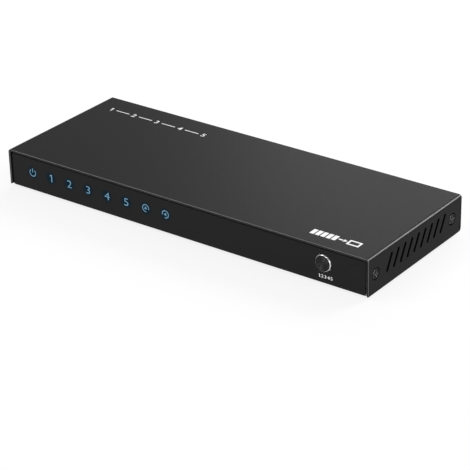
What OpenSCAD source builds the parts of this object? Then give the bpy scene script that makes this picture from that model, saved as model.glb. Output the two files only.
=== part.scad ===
// Slim five-way video switch box: a folded steel case with a row of video sockets at the rear,
// lit channel numbers and a select button at the front. All sizes are in millimetres.
// The front faces -Y, up is +Z, and the origin lies on the table under the middle of the box.

/* [Folded case] */
// Width of the cover, over its two side flanges
case_w = 200; // [190:1:260]
// Depth of the cover, from its front edge to its rear edge
case_d = 75.5; // [72:0.5:120]
// Height of the cover, from the lower edge of its flanges to its top
cover_h = 17.8; // [17:0.1:30]
// Thickness of the steel sheet
sheet_t = 1; // [0.8:0.1:1.4]
// Inside radius of every fold in the sheet
fold_r = 0.5; // [0.3:0.1:1]
// Step from the cover's edges in to the front panel and to the rear wall
edge_step = 0.6; // [0.3:0.1:1.5]
// How far the flanges hang below the underside of the tray
flange_drop = 0.3; // [0.1:0.1:1]
// Clearance between the tray's walls and the cover's top sheet
top_gap = 0.4; // [0.2:0.1:1]
// Clearance between the tray's floor and each flange
floor_gap = 0.3; // [0.1:0.1:1]
// Radius of the lower rear corners of the flanges
corner_r = 2; // [1:0.5:4]

/* [Vents] */
// Number of slots in each flange
vent_count = 9; // [5:2:9]
// Distance from slot to slot
vent_pitch = 5.4; // [4:0.1:5.6]
// Width of a slot
vent_w = 1.4; // [0.8:0.1:2]
// Height that a slot covers
vent_h = 7.9; // [5:0.1:9]
// Lean of the slots from upright, in degrees
vent_lean = 28; // [0:1:35]
// Height of the middle of the slots above the lower edge of the flanges
vent_mid = 10.15; // [8:0.05:11]

/* [Cover screws] */
// Distance of the front screws from the cover's front edge
screw_front = 5.65; // [5:0.05:7]
// Distance of the rear screws from the cover's rear edge
screw_rear = 8.15; // [5:0.05:9]
// Height of the screws above the lower edge of the flanges
screw_mid = 9; // [8.5:0.1:11]
// Thread diameter of the screws
screw_d = 3; // [2.5:0.5:3.5]
// Diameter of the countersunk heads
screw_head_d = 5; // [4.6:0.1:5.6]
// Depth of the heads below the face of the flanges
screw_sink = 0.3; // [0.1:0.05:0.5]
// Length of the screws, heads included
screw_len = 5; // [4:1:8]
// Bevel at the tip of the screws
screw_tip = 0.4; // [0.2:0.1:0.6]
// Clearance round a screw in its holes
screw_gap = 0.05; // [0.03:0.01:0.15]
// Length of one arm of the cross recess in a screw head
recess_l = 2.8; // [2:0.1:3]
// Width of an arm of the cross recess
recess_w = 0.6; // [0.4:0.1:0.8]
// Depth of the cross recess
recess_h = 0.8; // [0.4:0.1:1]

/* [Ears of the tray] */
// Metal left on an ear beyond the axis of its screw
ear_margin = 3.4; // [3:0.1:4]
// Height of the lower edge of the ears above the underside of the tray
ear_lift = 3.5; // [3:0.1:5]
// Clearance between the top of the ears and the cover's folds
ear_clear = 0.5; // [0.2:0.1:1.5]
// Relief cut below each ear
ear_relief = 1; // [0.5:0.1:1.2]
// Wall of the drawn collar round each tapped hole
collar_wall = 0.8; // [0.5:0.1:1]
// Length of the drawn collar
collar_len = 1.2; // [0.5:0.1:2]

/* [Front panel] */
// Thickness of the plastic front panel
panel_t = 0.4; // [0.2:0.1:1]
// Clearance between each end of the front panel and the flange beside it
panel_side = 0.8; // [0.3:0.1:2]
// Height of the lower edge of the front panel above the lower edge of the flanges
panel_low = 0.1; // [0.1:0.1:2]
// Distance of the upper edge of the front panel below the top of the front wall
panel_drop = 0.5; // [0.1:0.1:1.5]
// Radius of the corners of the front panel
panel_corner = 0.5; // [0.2:0.1:2]

/* [Indicators] */
// Distance of the first lamp from the left side of the case
icon_first = 14.2; // [12:0.1:20]
// Distance from lamp to lamp
icon_pitch = 11.2; // [8:0.1:12]
// Height of the lamps above the lower edge of the flanges
icon_mid = 9; // [8.5:0.1:11]
// Diameter of the windows behind the icons
window_d = 5; // [4:0.1:5.6]
// Diameter of a lamp
led_d = 3; // [2:0.1:3.4]
// Length of a lamp from its rim to its tip
led_len = 4.4; // [4:0.1:5.4]
// Width of the rim round the foot of a lamp
led_rim = 0.4; // [0.2:0.1:0.6]
// Thickness of that rim
led_rim_t = 1; // [0.5:0.1:1.5]
// Clearance round a lamp in the light block
led_gap = 0.1; // [0.05:0.05:0.2]
// Depth of the light block, front to back
block_d = 7; // [6:0.1:9]
// Depth of the light chamber in front of each lamp
chamber_d = 3; // [2:0.1:4]
// Wall of the light block above and beside the end chambers
block_wall = 0.6; // [0.5:0.1:2]
// Width of the square wire of the lamps and of the infra-red eye
wire_w = 0.5; // [0.4:0.1:0.7]
// Distance between the two wires of a lamp
wire_pitch = 2.54; // [2:0.02:2.6]
// Length of the lamps' wires behind the rim, up to the outside of the bend
wire_back = 1.5; // [1:0.1:3]

/* [Select button] */
// Distance of the button from the right side of the case
button_side = 23; // [20:0.5:30]
// Height of the button above the lower edge of the flanges
button_mid = 9.5; // [9:0.1:11]
// Diameter of the button
button_d = 8; // [6:0.1:9]
// Clearance round the button
button_gap = 0.3; // [0.2:0.05:0.5]
// How far the button stands out of the front panel
button_proud = 0.6; // [0.5:0.1:1.5]
// Travel of the button
button_travel = 0.4; // [0.2:0.05:0.45]
// Bevel round the face of the button
button_bevel = 0.35; // [0.1:0.05:0.5]
// Width of the lip that keeps the button behind the front wall
button_lip = 0.9; // [0.5:0.1:1.2]
// Thickness of that lip
button_lip_t = 1; // [0.5:0.1:1]
// Diameter of the stem on the back of the button
stem_d = 4; // [3:0.1:5]
// Length of that stem
stem_len = 3.2; // [2:0.1:5]
// Clearance at the stops of the moving pieces
stop_gap = 0.1; // [0.05:0.05:0.2]

/* [Push switch] */
// Width of the switch housing
switch_w = 6; // [5.4:0.1:8]
// Depth of the switch housing, front to back
switch_t = 3.6; // [3:0.1:6]
// Thickness of the front of the housing
switch_wall = 0.8; // [0.5:0.1:1]
// Diameter of the plunger
plunger_d = 3; // [2:0.1:3.4]
// How far the plunger stands out of the housing
plunger_proud = 1.4; // [1:0.1:3]
// Width of the lip that keeps the plunger in
plunger_lip = 0.5; // [0.3:0.1:0.7]
// Thickness of that lip
plunger_lip_t = 0.5; // [0.3:0.1:0.7]
// Running clearance of the plunger
plunger_gap = 0.1; // [0.05:0.05:0.2]
// Height left in the snap dome when the button is fully pressed
dome_left = 0.2; // [0.1:0.05:0.4]
// Thickness of the snap dome
dome_t = 0.1; // [0.05:0.01:0.15]

/* [Board] */
// Thickness of the circuit board
board_t = 1.6; // [1:0.1:2]
// Height of the pillars between the tray and the board
pillar_h = 3; // [2.5:0.1:3.5]
// Clearance between each end of the board and the flange beside it
board_side = 4; // [3.5:0.1:6]
// Clearance between the front wall and the board
board_front = 2; // [1.8:0.1:2.4]
// Clearance between the rear wall and the board
board_rear = 1.15; // [0.5:0.05:1.6]
// Radius of the corners of the board
board_corner = 1.5; // [0.5:0.1:3]
// Distance of the pillars from the ends of the board
pillar_side = 6; // [5:0.1:8]
// Distance of the front pillars from the front edge of the board
pillar_front = 15; // [13:0.1:17]
// Distance of the rear pillars from the rear edge of the board
pillar_rear = 17.5; // [16:0.1:20]
// Wall of a pillar round its thread
pillar_wall = 1; // [0.6:0.1:1.5]
// Wall of the swaged foot of a pillar, inside the floor
swage_wall = 0.6; // [0.3:0.1:0.9]
// Thread diameter of the board screws
board_screw_d = 3; // [2:0.5:3]
// Diameter of the heads of the board screws
board_head_d = 5.5; // [4.5:0.1:6]
// Height of the heads of the board screws
board_head_h = 1.8; // [1.2:0.1:2.2]
// Bevel round the heads of the board screws
board_head_bevel = 0.9; // [0.3:0.1:1.1]

/* [Video sockets] */
// Distance of the output socket from the right side of the case
socket_first = 40; // [38:0.5:42]
// Distance of the last input socket from the left side of the case
socket_last = 30; // [26:0.5:40]
// Inside width of a socket
socket_w = 14; // [13.6:0.1:15]
// Inside height of a socket
socket_h = 4.55; // [4.4:0.05:5.5]
// Inside width of the narrow lower side of a socket
socket_foot_w = 10.6; // [9.6:0.1:12]
// Height of the upright part of a socket's sides
socket_side_h = 2.8; // [2:0.1:3.4]
// Inside radius of a socket's corners
socket_r = 0.5; // [0.2:0.05:0.8]
// Sheet thickness of a socket's shell
shell_t = 0.4; // [0.3:0.05:0.5]
// Length of a shell, front to back
shell_len = 11.5; // [11:0.1:14]
// How far shells and power inlet stand out of the rear wall
socket_proud = 0.5; // [0.2:0.1:0.6]
// Clearance between a shell and the rear wall
shell_gap = 0.25; // [0.15:0.05:0.5]
// Width of the contact tongue
tongue_w = 11.2; // [10:0.1:12]
// Thickness of the contact tongue
tongue_t = 1.9; // [1.4:0.1:2.2]
// Distance of the tip of the tongue behind the mouth of the shell
tongue_back = 3.2; // [1:0.1:4]
// Length of the moulded block that carries the tongue
core_len = 3.5; // [3:0.1:6]
// Clearance between that block and its shell
core_gap = 0.05; // [0.03:0.01:0.1]
// Width of a shell's legs
leg_w = 1.5; // [1:0.1:2]
// Distance of the rear legs from the back end of the shell
leg_back = 1.2; // [0.5:0.1:2]
// Distance between the rear legs and the front legs
leg_pitch = 5.2; // [4:0.1:5.4]
// How far the legs reach below the board
leg_drop = 1; // [0.5:0.1:1.5]
// Clearance round a leg in the board
leg_gap = 0.15; // [0.1:0.05:0.3]

/* [Power inlet] */
// Distance of the power inlet from the right side of the case
jack_side = 15; // [14:0.5:17]
// Width of the inlet's housing
jack_w = 9; // [8.4:0.1:10]
// Height of the inlet's housing
jack_h = 8.4; // [8.4:0.1:9]
// Length of the inlet's housing inside the case
jack_len = 12; // [11:0.1:12.2]
// Diameter of the barrel hole
jack_bore_d = 6.3; // [5.7:0.1:6.6]
// Depth of the barrel hole
jack_bore_len = 9.5; // [8:0.1:10]
// Wall of the round nose that passes the rear wall
jack_nose_wall = 0.8; // [0.5:0.05:0.9]
// Clearance between the inlet and the rear wall
jack_gap = 0.25; // [0.15:0.05:0.3]
// Diameter of the centre pin
jack_pin_d = 2; // [1.6:0.05:2.5]
// Distance of the tip of the pin behind the mouth
jack_pin_back = 1; // [0.5:0.1:2]
// Bevel at the tip of the pin
jack_pin_bevel = 0.5; // [0.2:0.1:0.7]
// Diameter of the pin's shank in the housing
jack_shank_d = 3; // [2.6:0.1:3.6]
// Clearance round the pin's shank
jack_shank_gap = 0.03; // [0.02:0.01:0.06]
// Length of the pin's solder tail behind the housing
jack_tail = 0.8; // [0.5:0.1:0.8]

/* [Infra-red eye] */
// Place of the eye, right of the middle of the case
eye_x = 34; // [10:1:50]
// Diameter of the eye's round lens
eye_d = 4.4; // [3:0.1:4.8]
// Width of the eye's body
eye_w = 5; // [4.8:0.1:6]
// Depth of the eye's body, without its lens
eye_t = 2.6; // [2:0.1:4]
// Height of the eye's body
eye_h = 6.9; // [6:0.1:8]
// Height of the eye's body above the board
eye_lift = 0.6; // [0.3:0.1:1]
// Distance between the eye's wires
eye_pitch = 1.9; // [1.2:0.1:2]
// Clearance between the lens and the front wall
eye_gap = 0.3; // [0.2:0.1:0.6]
// Diameter of the eye's window in the front wall
eye_window_d = 5.6; // [4:0.1:7]

/* [Parts on the board] */
// Width of the video switch chip
chip_w = 14; // [12:0.5:16]
// Height of that chip
chip_h = 1.3; // [1:0.1:1.6]
// Place of that chip, right of the middle of the board
chip_x = -14; // [-20:1:0]
// Place of that chip, behind the middle of the board
chip_y = -4; // [-6:1:0]
// Thickness of the thermal pad
pad_t = 0.5; // [0.3:0.1:1]
// Width of the heat sink
sink_w = 28; // [20:1:32]
// Height of the heat sink
sink_h = 6.5; // [4:0.1:7]
// Thickness of the heat sink's base
sink_base = 1.5; // [1:0.1:2.5]
// Number of fins
fin_count = 9; // [5:1:11]
// Thickness of a fin
fin_t = 1; // [0.8:0.1:1.4]
// Width of the control chip
control_w = 7; // [6:0.5:9]
// Height of the control chip
control_h = 1.1; // [1:0.1:1.4]
// Place of the control chip, right of the middle of the board
control_x = 32; // [28:1:34]
// Place of the control chip, behind the middle of the board
control_y = -8; // [-12:1:-6]
// Pitch of the chips' leads
lead_pitch = 0.8; // [0.6:0.05:0.8]
// Width of a chip lead
lead_w = 0.35; // [0.2:0.05:0.4]
// Reach of a chip lead
lead_len = 1.2; // [0.8:0.1:1.6]
// Thickness of a chip lead
lead_t = 0.15; // [0.1:0.05:0.2]
// Length of the regulator
regulator_w = 6.5; // [5:0.1:7]
// Depth of the regulator
regulator_d = 3.5; // [3:0.1:4]
// Height of the regulator
regulator_h = 1.7; // [1.4:0.1:2]
// Distance of the regulator from the right end of the board
regulator_side = 21; // [18:1:23]
// Place of the regulator, behind the middle of the board
regulator_y = 14; // [12:1:16]
// Width of the power inductor
coil_w = 7; // [5:0.1:8]
// Height of the power inductor
coil_h = 4; // [3:0.1:6]
// Cut across the corners of the power inductor
coil_cut = 1.4; // [0.8:0.1:2]
// Depth of the round well in the power inductor's top
coil_well = 0.5; // [0.2:0.1:1]
// Distance between the regulator and the power inductor
coil_gap = 5.25; // [2:0.25:9]
// Place of the power inductor, behind the middle of the board
coil_y = 12; // [8:1:14]
// Diameter of the capacitors
can_d = 6.3; // [5:0.1:7]
// Height of the capacitors
can_h = 7.7; // [5:0.1:8.5]
// Height of the capacitors' plastic base
can_base_h = 1; // [0.6:0.1:1.4]
// Depth of the crimp round the capacitors, and the margin of their base
can_crimp = 0.3; // [0.2:0.05:0.5]
// Cut across two corners of the capacitors' base
can_cut = 1.6; // [1:0.1:2]
// Distance of the pair of capacitors from the right end of the board
can_side = 31; // [29:1:35]
// Place of the pair of capacitors, behind the middle of the board
can_y = -4; // [-8:1:-2]
// Distance between the capacitors
can_pitch = 9; // [8:0.1:10]
// Length of the crystal's can
crystal_l = 11; // [9:0.1:12]
// Depth of the crystal's can
crystal_d = 4.6; // [4:0.1:5]
// Height of the crystal's can
crystal_h = 3.5; // [2.5:0.1:4.5]
// Thickness and margin of the foot round the crystal's can
crystal_foot = 0.4; // [0.2:0.1:0.8]
// Place of the crystal, right of the middle of the board
crystal_x = 32; // [28:1:36]
// Place of the crystal, behind the middle of the board
crystal_y = 6; // [3:1:10]

/* [Feet] */
// Diameter of a foot
foot_d = 10; // [8:0.5:14]
// Height of a foot
foot_h = 1.5; // [1.2:0.1:4]
// Distance of the feet from the sides of the case
foot_side = 14; // [10:0.5:18]
// Distance of the feet from the front and rear edges of the case
foot_end = 9.5; // [9:0.5:12]
// Bevel round the lower edge of a foot
foot_bevel = 0.5; // [0.2:0.1:1]

/* [Hidden] */
$fn = 64;
// How far a cutter reaches past the face that it cuts
cut = 1;

// Icons from left to right, and sockets from right to left as the front is seen
ICONS = ["power", "1", "2", "3", "4", "5", "auto", "return"];
SOCKETS = ["out", "1", "2", "3", "4", "5"];

// Levels above the table
tray_bottom = foot_h;
cover_bottom = tray_bottom - flange_drop;
cover_top = cover_bottom + cover_h;
floor_top = tray_bottom + sheet_t;
wall_top = cover_top - sheet_t - top_gap;
board_bottom = floor_top + pillar_h;
board_top = board_bottom + board_t;
icon_z = cover_bottom + icon_mid;
button_z = cover_bottom + button_mid;
socket_z = board_top + shell_t;
jack_z = board_top + jack_h / 2;

// Places from left to right
flange_in = case_w / 2 - sheet_t;
button_x = case_w / 2 - button_side;
jack_x = case_w / 2 - jack_side;
board_half = flange_in - board_side;
pillar_x = board_half - pillar_side;
regulator_x = board_half - regulator_side;
coil_x = regulator_x - regulator_w / 2 - coil_gap - coil_w / 2;
can_x = board_half - can_side;
socket_pitch = (case_w - socket_first - socket_last) / (len(SOCKETS) - 1);
function icon_x(i) = icon_first - case_w / 2 + i * icon_pitch;
function socket_x(i) = case_w / 2 - socket_first - i * socket_pitch;

// Places from front to back
panel_face = edge_step - case_d / 2;
front_out = panel_face + panel_t;
front_in = front_out + sheet_t;
rear_out = case_d / 2 - edge_step;
rear_in = rear_out - sheet_t;
mouth_y = rear_out + socket_proud;
board_front_y = front_in + board_front;
board_rear_y = rear_in - board_rear;
board_mid_y = (board_front_y + board_rear_y) / 2;
shell_back_y = mouth_y - shell_len;
jack_face_y = rear_in - jack_gap;
jack_back_y = jack_face_y - jack_len;
block_back_y = front_in + block_d;
eye_y = front_in + eye_gap + eye_d / 2;

// Sizes that follow from others
fold_out = fold_r + sheet_t;
tray_d = rear_out - front_out;
head_h = (screw_head_d - screw_d) / 2;
button_hole_d = button_d + 2 * button_gap;
button_lip_d = button_hole_d + 2 * button_lip;
plunger_lip_d = plunger_d + 2 * plunger_gap + 2 * plunger_lip;
dome_h = button_travel + dome_left;
jack_nose_d = jack_bore_d + 2 * jack_nose_wall;
swage_d = board_screw_d + 2 * swage_wall;

// Places along the button's axis, counted forward from the inner face of the front wall
button_face = front_in - panel_face + button_proud;
lip_back = -stop_gap - button_lip_t;
stem_end = lip_back - stem_len;
switch_face = stem_end - plunger_proud;
plunger_stop = switch_face - switch_wall - stop_gap;
plunger_end = plunger_stop - plunger_lip_t;
dome_floor = plunger_end - stop_gap - dome_h;

// Rectangle on the X axis with its two lower corners rounded
module round_footed(w, h, r) {
    translate([-w / 2, r]) square([w, h - r]);
    translate([r - w / 2, 0]) square([w - 2 * r, h]);
    for (side = [-1, 1])
        translate([side * (w / 2 - r), r]) circle(r);
}

// Sheet folded up on both sides, seen end on: a web on the X axis and two walls
module channel(w, h) {
    difference() {
        round_footed(w, h, fold_out);
        translate([0, sheet_t]) round_footed(w - 2 * sheet_t, h, fold_r);
    }
}

// Rectangle with four rounded corners, about the origin
module rounded_rect(w, h, r) {
    square([w, h - 2 * r], center = true);
    square([w - 2 * r, h], center = true);
    for (x = [-1, 1], y = [-1, 1])
        translate([x * (w / 2 - r), y * (h / 2 - r)]) circle(r);
}

// Straight slot with round ends, upright about the origin
module slot(w, l) {
    square([w, l - w], center = true);
    for (end = [-1, 1])
        translate([0, end * (l - w) / 2]) circle(d = w);
}

// Outline drawn in X and Z, drawn out from y towards the front by l
module run_forward(y, l) {
    translate([0, y, 0]) rotate([90, 0, 0]) linear_extrude(l) children();
}

// Outline drawn in Y and Z, drawn out to both sides of the middle over a width of w
module run_across(w) {
    rotate([90, 0, 90]) linear_extrude(w, center = true) children();
}

// Puts a piece at each cover screw, its Z axis pointing out of the case
module at_cover_screws() {
    for (side = [-1, 1], y = [screw_front - case_d / 2, case_d / 2 - screw_rear])
        translate([side * case_w / 2, y, cover_bottom + screw_mid])
            rotate([0, side * 90, 0])
                children();
}

// Puts a piece at each pillar of the board, on the floor of the tray
module at_pillars() {
    for (side = [-1, 1], y = [board_front_y + pillar_front, board_rear_y - pillar_rear])
        translate([side * pillar_x, y, floor_top]) children();
}

// Puts a piece on the button's axis, its Z axis forward from the inner face of the front wall
module at_button() {
    translate([button_x, front_in, button_z]) rotate([90, 0, 0]) children();
}

// Puts a piece on the board, x and y from the middle of the board
module on_board(x, y) {
    translate([x, board_mid_y + y, board_top]) children();
}

// Cross recess in a screw head whose top lies at the origin
module cross_recess() {
    for (turn = [0, 90])
        rotate(turn) cube([recess_l, recess_w, 2 * recess_h], center = true);
}

// Hole for a countersunk screw, its mouth at the origin and its head sunk below that
module screw_hole() {
    mouth_r = screw_head_d / 2 + screw_sink + screw_gap;
    hole_r = screw_d / 2 + screw_gap;
    throat = screw_sink + head_h;
    end = screw_sink + screw_len + cut;
    rotate_extrude()
        polygon([[0, cut], [mouth_r, cut], [mouth_r, 0], [hole_r, -throat], [hole_r, -end], [0, -end]]);
}

// Cover: one sheet folded down on both sides, slotted and countersunk
module top_cover() {
    slot_l = (vent_h - vent_w) / cos(vent_lean) + vent_w;
    color("#2c2c2e")
        difference() {
            translate([0, 0, cover_top])
                rotate([-90, 0, 0])
                    linear_extrude(case_d, center = true)
                        channel(case_w, cover_h);
            run_across(case_w + 2 * cut)
                for (i = [0 : vent_count - 1])
                    translate([(i - (vent_count - 1) / 2) * vent_pitch, cover_bottom + vent_mid])
                        rotate(-vent_lean)
                            slot(vent_w, slot_l);
            run_across(case_w + 2 * cut)
                translate([case_d / 2 - corner_r, cover_bottom + corner_r])
                    difference() {
                        translate([0, -corner_r - cut]) square(corner_r + cut);
                        circle(corner_r);
                    }
            at_cover_screws() screw_hole();
        }
}

// Tray: one sheet folded up at the front and the rear, with four ears folded round to the flanges
module base_tray() {
    front_ear = screw_front - edge_step - panel_t + ear_margin;
    rear_ear = screw_rear - edge_step + ear_margin;
    ear_h = cover_top - fold_out - ear_clear - tray_bottom - ear_lift;
    color("#3b3b3e")
        difference() {
            union() {
                translate([0, front_out + tray_d / 2, tray_bottom]) {
                    run_across(2 * (flange_in - fold_out)) channel(tray_d, wall_top - tray_bottom);
                    run_across(2 * (flange_in - floor_gap)) channel(tray_d, ear_lift - ear_relief);
                }
                translate([0, front_out, tray_bottom + ear_lift])
                    linear_extrude(ear_h) channel(2 * flange_in, front_ear);
                translate([0, rear_out, tray_bottom + ear_lift])
                    mirror([0, 1, 0])
                        linear_extrude(ear_h) channel(2 * flange_in, rear_ear);
                at_cover_screws()
                    translate([0, 0, -2 * sheet_t - collar_len])
                        cylinder(d = screw_d + 2 * collar_wall, h = collar_len + sheet_t / 2);
            }
            at_cover_screws() screw_hole();
            at_pillars()
                translate([0, 0, -sheet_t - cut])
                    cylinder(d = swage_d + 2 * screw_gap, h = sheet_t + 2 * cut);
            run_forward(front_in + cut, sheet_t + 2 * cut) {
                for (i = [0 : len(ICONS) - 1])
                    translate([icon_x(i), icon_z]) circle(d = window_d);
                translate([eye_x, icon_z]) circle(d = eye_window_d);
                translate([button_x, button_z]) circle(d = button_hole_d);
            }
            run_forward(rear_out + cut, sheet_t + 2 * cut) {
                for (i = [0 : len(SOCKETS) - 1])
                    translate([socket_x(i), socket_z]) socket_outline(shell_t + shell_gap);
                translate([jack_x, jack_z]) circle(d = jack_nose_d + 2 * jack_gap);
            }
        }
}

// Front panel: a thin plate stuck to the front wall, with the button's hole
module front_overlay() {
    low = cover_bottom + panel_low;
    high = wall_top - panel_drop;
    color("#19191b")
        run_forward(front_out, panel_t)
            difference() {
                translate([0, (low + high) / 2])
                    rounded_rect(2 * (flange_in - panel_side), high - low, panel_corner);
                translate([button_x, button_z]) circle(d = button_hole_d);
            }
}

// Four countersunk screws that hold the cover to the tray's ears
module cover_screws() {
    head_r = screw_head_d / 2;
    shank_r = screw_d / 2;
    color("#1c1c1e")
        at_cover_screws()
            translate([0, 0, -screw_sink])
                difference() {
                    rotate_extrude()
                        polygon([
                            [0, 0], [head_r, 0], [shank_r, -head_h], [shank_r, screw_tip - screw_len],
                            [shank_r - screw_tip, -screw_len], [0, -screw_len]
                        ]);
                    cross_recess();
                }
}

// Round foot stuck under the tray, at the corner that the two signs give
module foot(x_sign, y_sign) {
    r = foot_d / 2;
    color("#141414")
        translate([x_sign * (case_w / 2 - foot_side), y_sign * (case_d / 2 - foot_end), 0])
            rotate_extrude()
                polygon([[0, 0], [r - foot_bevel, 0], [r, foot_bevel], [r, foot_h], [0, foot_h]]);
}

// Circuit board, with holes for its screws and slots for the legs of the sockets
module main_board() {
    color("#1f4d33")
        difference() {
            translate([0, board_mid_y, board_bottom])
                linear_extrude(board_t)
                    rounded_rect(2 * board_half, board_rear_y - board_front_y, board_corner);
            at_pillars()
                translate([0, 0, pillar_h - cut])
                    cylinder(d = board_screw_d + 2 * screw_gap, h = board_t + 2 * cut);
            for (i = [0 : len(SOCKETS) - 1])
                socket_legs(i, leg_gap);
        }
}

// Pillars swaged into the floor, which carry the board
module board_standoffs() {
    color("#b9bcc0")
        at_pillars()
            difference() {
                union() {
                    cylinder(d = board_screw_d + 2 * pillar_wall, h = pillar_h);
                    translate([0, 0, -sheet_t]) cylinder(d = swage_d, h = 2 * sheet_t);
                }
                translate([0, 0, -sheet_t - cut])
                    cylinder(d = board_screw_d + 2 * screw_gap, h = sheet_t + pillar_h + 2 * cut);
            }
}

// Pan-head screws that hold the board to its pillars
module board_screws() {
    head_r = board_head_d / 2;
    color("#c4c6c9")
        at_pillars()
            translate([0, 0, pillar_h + board_t])
                difference() {
                    union() {
                        rotate_extrude()
                            polygon([[0, 0], [head_r, 0], [head_r, board_head_h - board_head_bevel],
                                [head_r - board_head_bevel, board_head_h], [0, board_head_h]]);
                        translate([0, 0, -board_t - pillar_h])
                            cylinder(d = board_screw_d, h = board_t + pillar_h + board_head_h / 2);
                    }
                    translate([0, 0, board_head_h]) cross_recess();
                }
}

// Outline with straight sides, swollen by r all round so that its corners are arcs
module swollen(points, r) {
    count = len(points);
    polygon(points);
    for (i = [0 : count - 1]) {
        here = points[i];
        next = points[(i + 1) % count];
        out = [next.y - here.y, here.x - next.x] * r / norm(next - here);
        polygon([here, here + out, next + out, next]);
        translate(here) circle(r);
    }
}

// Inside outline of a video socket, moved outwards by grow: wide above, with slanted lower corners
module socket_outline(grow) {
    run = (socket_w - socket_foot_w) / 2;
    rise = socket_h - socket_side_h;
    slant = norm([run, rise]);
    half = socket_w / 2 - socket_r;
    knee = ((run - socket_r) * rise + socket_r * slant) / run;
    foot = socket_foot_w / 2 - socket_r * (slant - run) / rise;
    top = socket_h - socket_r;
    swollen(
        [[-half, top], [-half, knee], [-foot, socket_r], [foot, socket_r], [half, knee], [half, top]],
        socket_r + grow
    );
}

// Four legs of a socket's shell, or with a gap the slots that they pass through
module socket_legs(i, gap) {
    low = board_bottom - leg_drop;
    high = socket_z + socket_h - socket_side_h / 2;
    for (side = [-1, 1], y = [leg_back, leg_back + leg_pitch])
        translate([
            socket_x(i) + side * (socket_w + shell_t) / 2,
            shell_back_y + y + leg_w / 2,
            (low + high) / 2
        ])
            cube([shell_t + 2 * gap, leg_w + 2 * gap, high - low], center = true);
}

// Stamped shell of a video socket, standing on the board by its legs
module video_shell(i) {
    color("#c9cbce") {
        translate([socket_x(i), 0, socket_z])
            run_forward(mouth_y, shell_len)
                difference() {
                    socket_outline(shell_t);
                    socket_outline(0);
                }
        socket_legs(i, 0);
    }
}

// Moulded block at the back of a video socket, with the tongue that carries the contacts
module video_tongue(i) {
    color("#0f0f10")
        translate([socket_x(i), 0, socket_z]) {
            run_forward(shell_back_y + core_len, core_len) socket_outline(-core_gap);
            run_forward(mouth_y - tongue_back, shell_len - tongue_back - core_len / 2)
                translate([0, socket_h / 2]) square([tongue_w, tongue_t], center = true);
        }
}

// Housing of the power inlet: a block on the board, with a round nose through the rear wall
module power_jack() {
    color("#161617")
        difference() {
            union() {
                translate([jack_x, 0, jack_z])
                    run_forward(jack_face_y, jack_len) square([jack_w, jack_h], center = true);
                translate([jack_x, 0, jack_z])
                    run_forward(mouth_y, mouth_y - jack_face_y + cut) circle(d = jack_nose_d);
            }
            translate([jack_x, 0, jack_z]) {
                run_forward(mouth_y + cut, jack_bore_len + cut) circle(d = jack_bore_d);
                run_forward(mouth_y, mouth_y - jack_back_y + cut)
                    circle(d = jack_shank_d + 2 * jack_shank_gap);
            }
        }
}

// Centre pin of the power inlet, with its thicker shank and its solder tail down to the board
module power_jack_pin() {
    pin_root = mouth_y - jack_bore_len;
    pin_tip = mouth_y - jack_pin_back;
    pin_r = jack_pin_d / 2;
    color("#cfc9b4") {
        translate([jack_x, pin_root, jack_z])
            rotate([-90, 0, 0])
                rotate_extrude()
                    polygon([
                        [0, 0], [pin_r, 0], [pin_r, pin_tip - pin_root - jack_pin_bevel],
                        [pin_r - jack_pin_bevel, pin_tip - pin_root], [0, pin_tip - pin_root]
                    ]);
        translate([jack_x, 0, jack_z])
            run_forward(pin_root, pin_root - jack_back_y + jack_tail) circle(d = jack_shank_d);
        translate([jack_x - pin_r, jack_back_y - jack_tail, board_top])
            cube([jack_pin_d, jack_tail, jack_z - board_top]);
    }
}

// Infra-red eye behind the front panel: a moulded body with a round lens, on three wires
module ir_receiver() {
    low = board_top + eye_lift;
    color("#1b1416") {
        translate([eye_x - eye_w / 2, eye_y, low]) cube([eye_w, eye_t, eye_h]);
        translate([eye_x, eye_y, icon_z]) sphere(d = eye_d);
    }
    color("#c9cbce")
        for (i = [-1 : 1])
            translate([eye_x + i * eye_pitch - wire_w / 2, eye_y + (eye_t - wire_w) / 2, board_top])
                cube([wire_w, wire_w, eye_lift]);
}

// Turned button cap: bevelled face, lip behind the front wall and stem to the switch
module select_button() {
    r = button_d / 2;
    lip_r = button_lip_d / 2;
    stem_r = stem_d / 2;
    color("#3d3d40")
        at_button()
            rotate_extrude()
                polygon([
                    [0, stem_end], [stem_r, stem_end], [stem_r, lip_back], [lip_r, lip_back],
                    [lip_r, -stop_gap], [r, -stop_gap], [r, button_face - button_bevel],
                    [r - button_bevel, button_face], [0, button_face]
                ]);
}

// Plunger of the push switch, pressed by the stem of the button
module switch_plunger() {
    r = plunger_d / 2;
    lip_r = plunger_lip_d / 2;
    color("#d8d4c8")
        at_button()
            rotate_extrude()
                polygon([
                    [0, plunger_end], [lip_r, plunger_end], [lip_r, plunger_stop], [r, plunger_stop],
                    [r, stem_end], [0, stem_end]
                ]);
}

// Snap dome on the floor of the push switch, which springs the plunger back
module switch_dome() {
    rim = plunger_lip_d / 2;
    r = (rim * rim + dome_h * dome_h) / (2 * dome_h);
    color("#d9d9d6")
        at_button()
            intersection() {
                translate([0, 0, dome_floor]) cylinder(r = rim, h = dome_h);
                translate([0, 0, dome_floor + dome_h - r])
                    difference() {
                        sphere(r);
                        sphere(r - dome_t);
                    }
            }
}

// Housing of the push switch, standing on the board
module switch_housing() {
    high = button_z + switch_w / 2;
    color("#101011")
        difference() {
            translate([button_x - switch_w / 2, front_in - switch_face, board_top])
                cube([switch_w, switch_t, high - board_top]);
            at_button() {
                translate([0, 0, plunger_stop])
                    cylinder(d = plunger_d + 2 * plunger_gap, h = switch_wall + stop_gap + cut);
                translate([0, 0, dome_floor])
                    cylinder(d = plunger_lip_d + 2 * plunger_gap, h = plunger_stop + stop_gap - dome_floor);
            }
        }
}

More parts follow.
